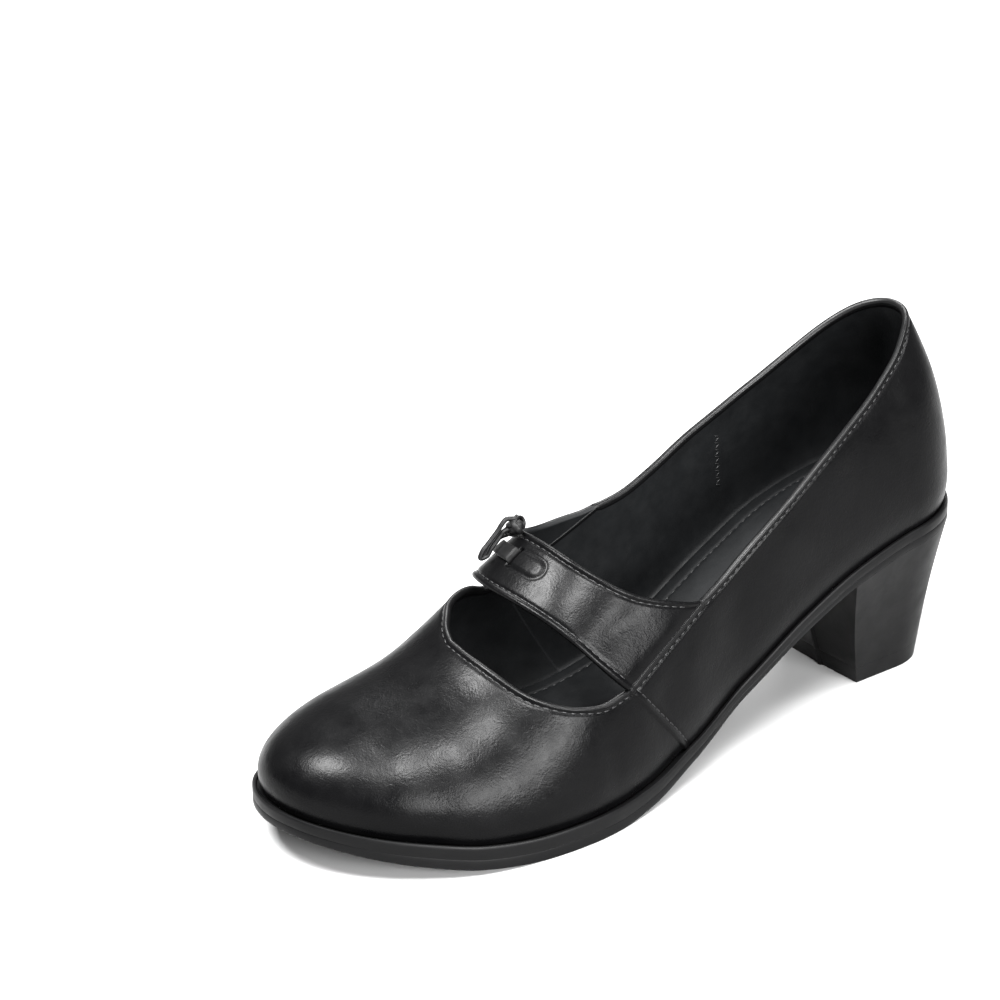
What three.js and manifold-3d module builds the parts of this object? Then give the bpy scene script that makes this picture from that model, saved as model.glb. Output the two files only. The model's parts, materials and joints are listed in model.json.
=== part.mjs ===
// A left-foot mary jane pump in black leather, with a block heel and a laced instep strap.
// Millimetres. +X runs to the toe, +Y to the outer (left) side, +Z up, and the floor is z = 0.
// It is worked out from the back of the heel seat, and placed at the end so that the origin is
// on the floor under the middle of its box.
import * as THREE from "three";
import { mergeVertices } from "three/addons/utils/BufferGeometryUtils.js";
import Module from "manifold-3d";

const wasm = await Module();
wasm.setup();

// Driving dimensions of the shoe
const LAST_LENGTH = 239; // upper, back of the heel seat to the toe
const BALL_WIDTH = 83; // widest part of the upper
const HEEL_RISE = 49; // underside of the outsole above the floor, at its back edge
const TOE_SPRING = 11; // underside of the outsole above the floor, at the toe
const SOLE_THICKNESS = 6.5; // outsole at the ball
const COLLAR_HEIGHT = 115; // top of the back of the collar above the floor
const COUNTER_LEAN = 12; // top of the back of the collar, forward of the back of the heel seat
const INSTEP_HEIGHT = 82; // height of the last above the sole where the strap meets the quarters

// Pieces
const WALL = 2; // leather and lining together
const CLEARANCE = 0.3; // gap between two pieces that touch
const TUCK = 1.8; // how far the upper curls in where it meets the sole
const TUCK_HEIGHT = 11; // height over which it curls in
const QUARTER_STEP = 0.8; // the quarters and the strap lie over the vamp by this much
const LASTING_MARGIN = 7; // leather turned in under the insole
const LIP_HEIGHT = 1.1; // raised edge of the outsole around the upper
const LIP_WIDTH = 1.4;
const LIP_GAP = 1.2; // from the foot of the vamp to the lip
const SOLE_CORNER = 0.8; // rounding of the outsole's lower edge
const INSOLE_THICKNESS = 3;
const INSOLE_BEVEL = 0.8;

// Heel
const HEEL_TOP_LENGTH = 52; // back edge to breast, under the outsole
const HEEL_FOOT_LENGTH = 32; // back edge to breast, at the floor
const HEEL_FOOT_SETBACK = 9; // back edge at the floor, forward of the back of the outsole
const HEEL_FOOT_WIDTH = 33;
const HEEL_FOOT_SHIFT = 1; // middle of the heel's foot, towards the outer side
const HEEL_FOOT_SQUARENESS = 2.4; // of its round back: 2 is an ellipse
const HEEL_INSET = 0.6; // heel inside the outsole's edge
const HEEL_WAIST = 0.9; // how far its sides hollow
const TOP_LIFT_HEIGHT = 6;
const BREAST_CROWN = 0.3; // the breast's middle stands forward of its corners
const BREAST_RIB = 0.8; // moulding line down the middle of the breast
const BREAST_RIB_WIDTH = 2.4;

// Lace: flat where it crosses the strap, rolled into a cord in the bow
const LACE_WIDTH = 5;
const LACE_THICKNESS = 1.2;
const CORD_WIDTH = 1.6;
const CORD_THICKNESS = 1.3;
const LACE_ALONG = 0.42; // where it crosses, from the strap's back edge
const SLIT_REACH = 8.5; // from the knot's line to each slit, over the leather
const SLIT_WIDTH = 1.6;
const SLIT_LENGTH = 6;
const KNOT_ALONG = 0.06; // middle of the knot, from the strap's back edge
const KNOT_ASIDE = 11; // and from the ridge over the leather, towards the inner side
const KNOT_LENGTH = 6.4;
const KNOT_WIDTH = 7.2;
const KNOT_HEIGHT = 5.2;

// Where the upper's edges run, as shares of the shoe's length
const VAMP_SEAM = 0.512; // vamp seam, at the sole
const CORNER_FOOT = 0.43; // column of the wall that ends at the collar's low corner, at the sole
const COLLAR_CORNER = 0.471; // low corner of the collar, where the strap leaves
const WINDOW_CORNER = 0.605; // back corner of the vamp's window
const THROAT = 0.742; // front of the window, on the ridge
const STRAP_END_GAP = 0.008; // share of the strap's half length left open at each end seam
const STRAP_BACK_SWEEP = 2.5; // how late the strap's back edge turns back towards the quarters
const STRAP_FRONT_SWEEP = 2.0; // and its front edge
const STRAP_ARC = 1.25; // how far it goes round the last, in radians of its section
const STRAP_BACK_RIDGE = 0.615; // back edge of the strap on the ridge
const STRAP_FRONT_RIDGE = 0.684; // front edge of the strap on the ridge
const COLLAR_CORNER_HEIGHT = 57; // above the floor
const WINDOW_CORNER_HEIGHT = 40; // above the floor
const COLLAR_INNER_RISE = 12; // the collar's inner corner is this much higher
const WINDOW_INNER_RISE = 12; // and the window's inner corner

// Plan of the upper at its widest. half: half width, centre: its middle, ridge: the top line, all as shares of half BALL_WIDTH
const PLAN = [
  { station: 0.0, half: 0.66, centre: 0.0, ridge: 0.0 },
  { station: 0.1, half: 0.66, centre: 0.0, ridge: 0.0 },
  { station: 0.2, half: 0.67, centre: 0.01, ridge: 0.0 },
  { station: 0.3, half: 0.66, centre: 0.04, ridge: 0.0 },
  { station: 0.4, half: 0.66, centre: 0.08, ridge: 0.0 },
  { station: 0.5, half: 0.74, centre: 0.1, ridge: -0.02 },
  { station: 0.6, half: 0.88, centre: 0.08, ridge: -0.05 },
  { station: 0.68, half: 0.975, centre: 0.045, ridge: -0.08 },
  { station: 0.74, half: 1.0, centre: 0.0, ridge: -0.1 },
  { station: 0.82, half: 1.0, centre: -0.06, ridge: -0.14 },
  { station: 0.9, half: 0.98, centre: -0.14, ridge: -0.18 },
  { station: 1.0, half: 0.95, centre: -0.23, ridge: -0.23 },
];
const TOE_ROUND = { from: 0.74, reach: 2.3, fullness: 2.0 };
const HEEL_ROUND = { to: 0.11, reach: 2.2, fullness: 2.2 };
const TOE_BOX = { from: 0.82, reach: 2.2, fullness: 2.3 };

// Underside of the outsole: heel part as a share of HEEL_RISE, toe part as a share of TOE_SPRING
const UNDERSIDE = [
  { station: 0.0, heel: 1.0, toe: 0 },
  { station: 0.1, heel: 0.96, toe: 0 },
  { station: 0.2, heel: 0.86, toe: 0 },
  { station: 0.3, heel: 0.67, toe: 0 },
  { station: 0.4, heel: 0.43, toe: 0 },
  { station: 0.5, heel: 0.18, toe: 0 },
  { station: 0.58, heel: 0.04, toe: 0 },
  { station: 0.64, heel: 0, toe: 0 },
  { station: 0.74, heel: 0, toe: 0 },
  { station: 0.82, heel: 0, toe: 0.13 },
  { station: 0.9, heel: 0, toe: 0.45 },
  { station: 1.0, heel: 0, toe: 1.0 },
];
// Thickness of the outsole, as a share of SOLE_THICKNESS
const SOLE_EDGE = [
  { station: 0.0, thickness: 0.75 },
  { station: 0.25, thickness: 0.65 },
  { station: 0.42, thickness: 0.55 },
  { station: 0.55, thickness: 0.8 },
  { station: 0.65, thickness: 1.0 },
  { station: 0.85, thickness: 1.0 },
  { station: 1.0, thickness: 0.75 },
];
// Edge of the window in the vamp, from its back corner to the ridge, on the outer and the inner side.
// outer, inner: share of the way to THROAT. outerOut, innerOut: how far out from the ridge, as a share of the corner's
const WINDOW_EDGE = [
  { along: 0.0, outer: 0.0, inner: 0.0, outerOut: 1.0, innerOut: 1.0 },
  { along: 0.2, outer: 0.24, inner: 0.16, outerOut: 0.985, innerOut: 0.965 },
  { along: 0.4, outer: 0.51, inner: 0.33, outerOut: 0.93, innerOut: 0.86 },
  { along: 0.6, outer: 0.75, inner: 0.52, outerOut: 0.82, innerOut: 0.725 },
  { along: 0.75, outer: 0.9, inner: 0.68, outerOut: 0.66, innerOut: 0.585 },
  { along: 0.87, outer: 0.985, inner: 0.825, outerOut: 0.4, innerOut: 0.37 },
  { along: 0.95, outer: 1.01, inner: 0.94, outerOut: 0.18, innerOut: 0.172 },
  { along: 1.0, outer: 1.0, inner: 1.0, outerOut: 0.0, innerOut: 0.0 },
];
// The last above the outsole: height as a share of INSTEP_HEIGHT, and the exponents of its section
const LAST = [
  { station: 0.0, height: 0.8, side: 2.1, crown: 2.4 },
  { station: 0.1, height: 0.77, side: 2.1, crown: 2.4 },
  { station: 0.19, height: 0.79, side: 2.1, crown: 2.4 },
  { station: 0.25, height: 0.86, side: 2.2, crown: 2.4 },
  { station: 0.32, height: 0.97, side: 2.3, crown: 2.4 },
  { station: 0.4, height: 1.05, side: 2.3, crown: 2.2 },
  { station: 0.5, height: 1.0, side: 2.3, crown: 2.0 },
  { station: 0.615, height: 0.83, side: 2.2, crown: 1.9 },
  { station: 0.69, height: 0.67, side: 2.2, crown: 1.9 },
  { station: 0.73, height: 0.575, side: 2.2, crown: 1.9 },
  { station: 0.78, height: 0.48, side: 2.2, crown: 1.9 },
  { station: 0.86, height: 0.38, side: 2.3, crown: 1.95 },
  { station: 0.93, height: 0.33, side: 2.4, crown: 2.0 },
  { station: 1.0, height: 0.31, side: 2.4, crown: 2.0 },
];
// Collar line above the floor, as a share of the way from the corner's height to COLLAR_HEIGHT
const COLLAR = [
  { station: 0.0, outer: 1.0, inner: 1.0 },
  { station: 0.045, outer: 0.94, inner: 0.93 },
  { station: 0.1, outer: 0.83, inner: 0.8 },
  { station: 0.174, outer: 0.67, inner: 0.6 },
  { station: 0.246, outer: 0.52, inner: 0.42 },
  { station: 0.32, outer: 0.35, inner: 0.26 },
  { station: 0.38, outer: 0.21, inner: 0.12 },
  { station: 0.44, outer: 0.06, inner: 0.02 },
  { station: 0.471, outer: 0.0, inner: 0.0 },
];
// Back of the counter: how far it leans forward, as a share of COUNTER_LEAN, at shares of the collar's height
const COUNTER = [
  { rise: 0.0, forward: 0.0 },
  { rise: 0.3, forward: 0.083 },
  { rise: 0.6, forward: 0.333 },
  { rise: 1.0, forward: 1.0 },
];
const COUNTER_REACH = 0.3; // share of the length over which that fades out

// A smooth curve through the rows of a table, without overshoot
function curve(table, key, column) {
  const xs = table.map((row) => row[key]);
  const ys = table.map((row) => row[column]);
  const steps = xs.slice(1).map((x, i) => (ys[i + 1] - ys[i]) / (x - xs[i]));
  const slopes = xs.map((x, i) => {
    if (i === 0) return steps[0];
    if (i === xs.length - 1) return steps[i - 1];
    if (steps[i - 1] * steps[i] <= 0) return 0;
    const before = xs[i] - xs[i - 1];
    const after = xs[i + 1] - xs[i];
    const a = 2 * after + before;
    const b = after + 2 * before;
    return (a + b) / (a / steps[i - 1] + b / steps[i]);
  });
  return (x) => {
    const clamped = Math.min(Math.max(x, xs[0]), xs[xs.length - 1]);
    let i = xs.findIndex((end) => end >= clamped) - 1;
    if (i < 0) i = 0;
    const width = xs[i + 1] - xs[i];
    const t = (clamped - xs[i]) / width;
    const ease = t * t * (3 - 2 * t);
    return (
      ys[i] * (1 - ease) +
      ys[i + 1] * ease +
      width * t * (1 - t) * (slopes[i] * (1 - t) - slopes[i + 1] * t)
    );
  };
}

const mix = (a, b, t) => a + (b - a) * t;
const halfShare = curve(PLAN, "station", "half");
const centreShare = curve(PLAN, "station", "centre");
const ridgeShare = curve(PLAN, "station", "ridge");
const heelShare = curve(UNDERSIDE, "station", "heel");
const toeShare = curve(UNDERSIDE, "station", "toe");
const thicknessShare = curve(SOLE_EDGE, "station", "thickness");
const heightShare = curve(LAST, "station", "height");
const sideExponent = curve(LAST, "station", "side");
const crownExponent = curve(LAST, "station", "crown");
const collarOuter = curve(COLLAR, "station", "outer");
const collarInner = curve(COLLAR, "station", "inner");
const windowOuter = curve(WINDOW_EDGE, "along", "outer");
const windowInner = curve(WINDOW_EDGE, "along", "inner");
const windowOuterOut = curve(WINDOW_EDGE, "along", "outerOut");
const windowInnerOut = curve(WINDOW_EDGE, "along", "innerOut");
const counterForward = curve(COUNTER, "rise", "forward");

// 1 until from, then falls to 0 at the toe as a superellipse
function toeRounding(station, { from, reach, fullness }) {
  const t = Math.max(0, (station - from) / (1 - from));
  return Math.max(0, 1 - t ** reach) ** (1 / fullness);
}
function heelRounding(station, { to, reach, fullness }) {
  const t = Math.max(0, 1 - station / to);
  return Math.max(0, 1 - t ** reach) ** (1 / fullness);
}

// The last: a superellipse section at each station, either side of its ridge
const ridgeY = (station) => (ridgeShare(station) * BALL_WIDTH) / 2;
function edgeY(station, side) {
  const rounding = toeRounding(station, TOE_ROUND) * heelRounding(station, HEEL_ROUND);
  return ((centreShare(station) + side * halfShare(station) * rounding) * BALL_WIDTH) / 2;
}
const stationOf = (x) => Math.min(1, Math.max(0, x / LAST_LENGTH));
function underside(x) {
  const station = stationOf(x);
  return HEEL_RISE * heelShare(station) + TOE_SPRING * toeShare(station);
}
const seat = (x) => underside(x) + SOLE_THICKNESS * thicknessShare(stationOf(x));
const lastFoot = (station) => seat(station * LAST_LENGTH) + CLEARANCE;
const lastHeight = (station) =>
  INSTEP_HEIGHT * heightShare(station) * toeRounding(station, TOE_BOX);

// Height of the last's surface. share: how far out it is from the ridge, 0 to 1
function lastZ(station, share) {
  const out = Math.min(1, share) ** sideExponent(station);
  return lastFoot(station) + lastHeight(station) * (1 - out) ** (1 / crownExponent(station));
}
// How far out the last's surface is at a height
function lastShare(station, z) {
  const height = lastHeight(station);
  if (height === 0) return 1;
  const rise = Math.min(1, Math.max(0, (z - lastFoot(station)) / height));
  return (1 - rise ** crownExponent(station)) ** (1 / sideExponent(station));
}
const acrossY = (station, side, share) =>
  mix(ridgeY(station), edgeY(station, side), share);
function collarZ(station, side) {
  const corner = COLLAR_CORNER_HEIGHT + (side < 0 ? COLLAR_INNER_RISE : 0);
  return mix(corner, COLLAR_HEIGHT, side < 0 ? collarInner(station) : collarOuter(station));
}
// Leans the back of the last
function leanCounter(point, station) {
  const rise = (point.z - seat(0)) / (COLLAR_HEIGHT - seat(0));
  const fade = Math.max(0, 1 - station / COUNTER_REACH) ** 2;
  point.x += COUNTER_LEAN * fade * counterForward(Math.min(1, Math.max(0, rise)));
  return point;
}

// Columns of the wall, from the toe along the outer side to the heel and back along the inner side.
// foot: station at the sole. top, topShare, topZ: where the wall ends.
const FRONT_COLUMNS = 20;
const SEAM_COLUMNS = 4;
const COLLAR_COLUMNS = 20;
const SEAM_OFFSET = QUARTER_STEP / 2 / LAST_LENGTH; // the quarters' step slopes over this much
function seamTop(t, side) {
  const top = mix(WINDOW_CORNER, COLLAR_CORNER, t);
  const window = WINDOW_CORNER_HEIGHT + (side < 0 ? WINDOW_INNER_RISE : 0);
  const topZ = mix(window, collarZ(COLLAR_CORNER, side), t);
  return { top, topZ, topShare: lastShare(top, topZ) };
}
function sideColumns(side) {
  const columns = [];
  const corner = seamTop(0, side);
  for (let i = 0; i <= FRONT_COLUMNS; i++) {
    const along = 1 - i / FRONT_COLUMNS;
    const forwards = Math.sin((Math.PI / 2) * along);
    columns.push({
      side,
      quarter: 0,
      upright: (1 - along) ** 3,
      foot: mix(VAMP_SEAM, 1, forwards),
      top: mix(WINDOW_CORNER, THROAT, side < 0 ? windowInner(along) : windowOuter(along)),
      topShare: corner.topShare * (side < 0 ? windowInnerOut(along) : windowOuterOut(along)),
    });
  }
  for (let i = 0; i <= SEAM_COLUMNS; i++) {
    const t = i / SEAM_COLUMNS;
    const end = seamTop(t, side);
    if (i === 0) end.top -= SEAM_OFFSET;
    const foot = mix(VAMP_SEAM, CORNER_FOOT, t) - (i === 0 ? SEAM_OFFSET : 0);
    columns.push({ side, quarter: 1, upright: 1, foot, ...end });
  }
  for (let i = 1; i <= COLLAR_COLUMNS; i++) {
    const along = 1 - Math.cos((Math.PI / 2) * (1 - i / COLLAR_COLUMNS));
    const top = COLLAR_CORNER * along;
    const topZ = collarZ(top, side);
    const foot = CORNER_FOOT * along;
    const topShare = lastShare(top, topZ);
    columns.push({ side, quarter: 1, upright: 1, foot, top, topZ, topShare });
  }
  return columns;
}
const outerColumns = sideColumns(1);
const innerColumns = sideColumns(-1);
const COLUMNS = [...outerColumns, ...innerColumns.slice(1, -1).reverse()];

// A point of the wall, v from 0 at the sole to 1 at the top. Upright columns rise evenly with the
// height and take the last's width there; the others go straight in plan and take its height there.
function wallPoint({ side, upright, foot, top, topShare }, v) {
  const ease = 1 - Math.cos((Math.PI / 2) * v);
  const flatStation = mix(foot, top, ease);
  const flatY = mix(edgeY(foot, side), acrossY(top, side, topShare), ease);
  const reach = edgeY(flatStation, side) - ridgeY(flatStation);
  const flatShare = Math.abs(reach) < 1e-9 ? 1 : Math.abs((flatY - ridgeY(flatStation)) / reach);
  const rise = v ** 0.9;
  const uprightStation = mix(foot, top, rise);
  const uprightZ = mix(lastFoot(foot), lastZ(top, topShare), rise);
  const station = mix(flatStation, uprightStation, upright);
  const share = mix(Math.min(1, flatShare), lastShare(uprightStation, uprightZ), upright);
  const z = upright === 1 ? uprightZ : lastZ(station, share);
  return new THREE.Vector3(station * LAST_LENGTH, acrossY(station, side, share), z);
}

// Moves every point of a closed loop inwards in plan. The loops run from the toe along +Y.
function inset(loop, distance) {
  const n = loop.length;
  return loop.map((p, i) => {
    const before = loop[(i + n - 1) % n];
    const after = loop[(i + 1) % n];
    const along = new THREE.Vector2(after.x - before.x, after.y - before.y).normalize();
    return new THREE.Vector3(p.x - along.y * distance, p.y + along.x * distance, p.z);
  });
}
const atHeight = (loop, height) => loop.map((p) => new THREE.Vector3(p.x, p.y, height(p.x)));

// Joins a stack of closed loops into a solid. With wrap the last loop meets the first;
// otherwise the ends are closed by strips from each point to the one across from it.
function stack(loops, wrap = false) {
  const n = loops[0].length;
  const positions = loops.flatMap((loop) => loop.flatMap((p) => [p.x, p.y, p.z]));
  const faces = [];
  const bands = wrap ? loops.length : loops.length - 1;
  for (let j = 0; j < bands; j++) {
    const a = j * n;
    const b = ((j + 1) % loops.length) * n;
    for (let i = 0; i < n; i++) {
      const k = (i + 1) % n;
      faces.push(a + i, a + k, b + k, a + i, b + k, b + i);
    }
  }
  if (!wrap) {
    const last = (loops.length - 1) * n;
    for (let i = 0, k = n - 1; i + 1 < k; i++, k--) {
      faces.push(i, k, i + 1);
      faces.push(last + i, last + i + 1, last + k);
      if (i + 1 < k - 1) {
        faces.push(i + 1, k, k - 1);
        faces.push(last + i + 1, last + k - 1, last + k);
      }
    }
  }
  const geometry = new THREE.BufferGeometry();
  geometry.setAttribute("position", new THREE.Float32BufferAttribute(positions, 3));
  geometry.setIndex(faces);
  return faceOutwards(geometry);
}
function faceOutwards(geometry) {
  const position = geometry.getAttribute("position");
  const index = geometry.index.array;
  const at = (i) => new THREE.Vector3().fromBufferAttribute(position, i);
  let volume = 0;
  for (let i = 0; i < index.length; i += 3)
    volume += at(index[i]).dot(at(index[i + 1]).cross(at(index[i + 2])));
  if (volume > 0) return geometry;
  for (let i = 0; i < index.length; i += 3)
    [index[i + 1], index[i + 2]] = [index[i + 2], index[i + 1]];
  return geometry;
}

// Upper: one hollow wall from the sole to the collar and the vamp's window, turned in under the insole
const WALL_ROWS = 9;
function bareLoops() {
  const rows = Array.from({ length: WALL_ROWS + 1 }, (_, row) => row / WALL_ROWS);
  const loops = rows.map((v) =>
    COLUMNS.map((column) => wallPoint(column, v)),
  );
  return loops.map((loop) => {
    const pulled = inset(loop, TUCK);
    return loop.map((p, i) => {
      const rise = (p.z - loops[0][i].z) / TUCK_HEIGHT;
      const tucked = p.clone().lerp(pulled[i], Math.max(0, 1 - rise) ** 2);
      return leanCounter(tucked, COLUMNS[i].foot);
    });
  });
}
const BARE = bareLoops();
const FOOT = BARE[0];
function wallLoops(depth) {
  const n = COLUMNS.length;
  return BARE.map((loop, j) =>
    loop.map((p, i) => {
      const up = BARE[Math.min(j + 1, WALL_ROWS)][i].clone().sub(BARE[Math.max(j - 1, 0)][i]);
      const along = loop[(i + 1) % n].clone().sub(loop[(i + n - 1) % n]);
      const outwards = up.cross(along).normalize();
      return p.clone().addScaledVector(outwards, COLUMNS[i].quarter * QUARTER_STEP - depth);
    }),
  );
}
const seatAbove = (height) => (x) => seat(x) + height;
function makeUpper() {
  const outside = wallLoops(0);
  const inside = wallLoops(WALL);
  outside[0] = atHeight(outside[0], seatAbove(CLEARANCE));
  inside[0] = atHeight(inside[0], seatAbove(CLEARANCE + WALL));
  const marginTop = atHeight(inset(FOOT, WALL + LASTING_MARGIN), seatAbove(CLEARANCE + WALL));
  const marginFoot = atHeight(marginTop, seatAbove(CLEARANCE));
  return stack([...outside, ...inside.reverse(), marginTop, marginFoot], true);
}

// Outsole: the outline of the upper's foot with a raised lip around it
const OUTLINE = inset(FOOT, -(LIP_GAP + LIP_WIDTH));
function makeOutsole() {
  const lip = inset(OUTLINE, LIP_WIDTH);
  return stack([
    atHeight(inset(OUTLINE, SOLE_CORNER), underside),
    atHeight(OUTLINE, (x) => underside(x) + SOLE_CORNER),
    atHeight(OUTLINE, seat),
    atHeight(inset(OUTLINE, LIP_WIDTH / 4), seatAbove(LIP_HEIGHT)),
    atHeight(lip, seatAbove(LIP_HEIGHT)),
    atHeight(lip, seat),
  ]);
}

// Insole: rests on the turned-in leather and fills the space inside it down to the outsole
function makeInsole() {
  const core = inset(FOOT, LASTING_MARGIN + WALL + 2 * CLEARANCE);
  const edge = inset(FOOT, WALL + 2 * CLEARANCE);
  const rest = CLEARANCE + WALL + CLEARANCE;
  return stack([
    atHeight(core, seatAbove(CLEARANCE)),
    atHeight(core, seatAbove(rest)),
    atHeight(edge, seatAbove(rest)),
    atHeight(edge, seatAbove(rest + INSOLE_THICKNESS - INSOLE_BEVEL)),
    atHeight(inset(edge, 2 * INSOLE_BEVEL), seatAbove(rest + INSOLE_THICKNESS)),
  ]);
}

// Heel: D-shaped in plan, from the outsole's own outline down to its foot
const HEEL_COLUMNS = 12;
const HEEL_ROWS = 4;
function outlineY(x, side) {
  const points = OUTLINE.filter((p, i) => (i < outerColumns.length ? 1 : -1) === side);
  const sorted = points.toSorted((a, b) => a.x - b.x);
  const next = Math.max(1, sorted.findIndex((p) => p.x > x));
  const before = sorted[next - 1];
  const after = sorted[next];
  return mix(before.y, after.y, (x - before.x) / (after.x - before.x));
}
function heelColumns() {
  const back = OUTLINE[outerColumns.length - 1];
  const topBack = back.x + HEEL_INSET;
  const topLength = HEEL_TOP_LENGTH - HEEL_INSET;
  const footBack = back.x + HEEL_FOOT_SETBACK;
  const columns = [{ top: [topBack, back.y], foot: [footBack, HEEL_FOOT_SHIFT] }];
  const half = HEEL_FOOT_WIDTH / 2;
  const shape = (side) => {
    const list = [];
    for (let i = 1; i <= HEEL_COLUMNS; i++) {
      const along = 1 - Math.cos(((Math.PI / 2) * i) / HEEL_COLUMNS);
      const topX = topBack + topLength * along;
      const footX = footBack + HEEL_FOOT_LENGTH * along;
      const round = Math.min(1, (footX - footBack) / half);
      const bulge = (1 - (1 - round) ** HEEL_FOOT_SQUARENESS) ** (1 / HEEL_FOOT_SQUARENESS);
      list.push({
        top: [topX, outlineY(topX, side) - side * HEEL_INSET],
        foot: [footX, HEEL_FOOT_SHIFT + side * half * bulge],
        side,
      });
    }
    const corner = list.at(-1);
    const middle = outlineY(corner.top[0], 1) / 2 + outlineY(corner.top[0], -1) / 2;
    const rib = side * (BREAST_RIB_WIDTH / 2);
    list.push({
      top: [corner.top[0] + BREAST_CROWN, middle + rib],
      foot: [corner.foot[0] + BREAST_CROWN, HEEL_FOOT_SHIFT + rib],
    });
    return { list, corner, middle };
  };
  const outer = shape(1);
  const inner = shape(-1);
  const crest = BREAST_CROWN + BREAST_RIB;
  columns.push(...outer.list);
  columns.push({
    top: [outer.corner.top[0] + crest, outer.middle],
    foot: [outer.corner.foot[0] + crest, HEEL_FOOT_SHIFT],
  });
  columns.push(...inner.list.reverse());
  return columns;
}
const HEEL = heelColumns();
function heelLoop(height) {
  return HEEL.map(({ top, foot, side = 0 }) => {
    const topZ = underside(top[0]);
    const z = height(topZ);
    const t = z / topZ;
    const hollow = HEEL_WAIST * Math.sin(Math.PI * t);
    const y = mix(foot[1], top[1], t) - side * hollow;
    return new THREE.Vector3(mix(foot[0], top[0], t), y, z);
  });
}
function makeHeelBlock() {
  const rows = Array.from({ length: HEEL_ROWS + 1 }, (_, j) => j / HEEL_ROWS);
  const from = TOP_LIFT_HEIGHT + CLEARANCE;
  return stack(rows.map((t) => heelLoop((topZ) => mix(from, topZ - CLEARANCE, t))));
}
const makeTopLift = () => stack([heelLoop(() => 0), heelLoop(() => TOP_LIFT_HEIGHT)]);

// Strap: over the instep from the outer quarter to the inner one, on the last's own surface.
// across: -1 at the inner seam to 1 at the outer one. along: 0 at the back edge to 1 at the front.
const STRAP_COLUMNS = 28;
const STRAP_ROWS = 5;
function strapPlace(across, along) {
  const side = Math.sign(across) || 1;
  const end = seamTop(1 - along, side);
  const t = Math.abs(across);
  const ridge = mix(STRAP_BACK_RIDGE, STRAP_FRONT_RIDGE, along);
  const sweep = mix(STRAP_BACK_SWEEP, STRAP_FRONT_SWEEP, along);
  const station = mix(ridge, end.top, t ** sweep);
  const share = (end.topShare * Math.sin(t * STRAP_ARC)) / Math.sin(STRAP_ARC);
  const y = acrossY(station, side, share);
  return new THREE.Vector3(station * LAST_LENGTH, y, lastZ(station, share));
}
function strapFrame(across, along) {
  const d = 0.01;
  const point = strapPlace(across, along);
  const forward = strapPlace(across, along + d).sub(strapPlace(across, along - d)).normalize();
  const outward = strapPlace(across + d, along).sub(strapPlace(across - d, along)).normalize();
  const up = forward.clone().cross(outward).normalize();
  return { point, forward, outward, up };
}
function strapPoint(across, along, lift) {
  const { point, up } = strapFrame(across, along);
  return point.addScaledVector(up, QUARTER_STEP + lift);
}
function makeStrap() {
  const reach = 1 - STRAP_END_GAP;
  const loops = Array.from({ length: STRAP_COLUMNS + 1 }, (_, i) => {
    const across = mix(-reach, reach, i / STRAP_COLUMNS);
    const rows = Array.from({ length: STRAP_ROWS + 1 }, (_, j) => j / STRAP_ROWS);
    const outside = rows.map((along) => strapPoint(across, along, 0));
    const inside = rows.map((along) => strapPoint(across, along, -WALL));
    return [...outside, ...inside.reverse()];
  });
  return [1, -1].reduce((strap, side) => cut(strap, makeSlit(side)), stack(loops));
}

// Places on the strap, in millimetres over the leather: forward of the knot and out from the ridge
const RIDGE_LENGTH = strapPlace(0, 0).distanceTo(strapPlace(0, 1));
const acrossFor = (out) => (out * 0.1) / strapPlace(0, LACE_ALONG).distanceTo(strapPlace(0.1, LACE_ALONG));
const overStrap = ([forward, out, lift]) =>
  strapPoint(acrossFor(out), KNOT_ALONG + forward / RIDGE_LENGTH, lift);

// A block through the strap, its long side along the shoe
function makeSlit(side) {
  const { point, forward, up } = strapFrame(acrossFor(side * SLIT_REACH - KNOT_ASIDE), LACE_ALONG);
  const slit = new THREE.BoxGeometry(SLIT_LENGTH, SLIT_WIDTH, 4 * WALL);
  slit.applyMatrix4(new THREE.Matrix4().makeBasis(forward, up.clone().cross(forward), up));
  slit.translate(point.x, point.y, point.z);
  return slit;
}
function solidOf(geometry) {
  const bare = geometry.clone();
  bare.deleteAttribute("normal");
  bare.deleteAttribute("uv");
  const merged = mergeVertices(bare, 1e-4);
  const vertProperties = new Float32Array(merged.getAttribute("position").array);
  const triVerts = new Uint32Array(merged.index.array);
  return new wasm.Manifold(new wasm.Mesh({ numProp: 3, vertProperties, triVerts }));
}
function cut(geometry, tool) {
  const mesh = solidOf(geometry).subtract(solidOf(tool)).getMesh();
  const result = new THREE.BufferGeometry();
  result.setAttribute("position", new THREE.BufferAttribute(mesh.vertProperties, 3));
  result.setIndex(Array.from(mesh.triVerts));
  return result;
}

// Lace: a flat bar from slit to slit, and a bow that lies on it to the inner side of the ridge
const BAR_COLUMNS = 12;
function makeLaceBar() {
  const reach = SLIT_REACH - SLIT_WIDTH / 2;
  const half = LACE_WIDTH / 2 / RIDGE_LENGTH;
  const loops = Array.from({ length: BAR_COLUMNS + 1 }, (_, i) => {
    const across = acrossFor(mix(-reach, reach, i / BAR_COLUMNS) - KNOT_ASIDE);
    const at = (along, lift) => strapPoint(across, LACE_ALONG + along, CLEARANCE + lift);
    return [
      at(-half, 0.2 * LACE_THICKNESS),
      at(-0.8 * half, 0),
      at(0.8 * half, 0),
      at(half, 0.2 * LACE_THICKNESS),
      at(half, 0.8 * LACE_THICKNESS),
      at(0.8 * half, LACE_THICKNESS),
      at(-0.8 * half, LACE_THICKNESS),
      at(-half, 0.8 * LACE_THICKNESS),
    ];
  });
  return stack(loops);
}
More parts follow.
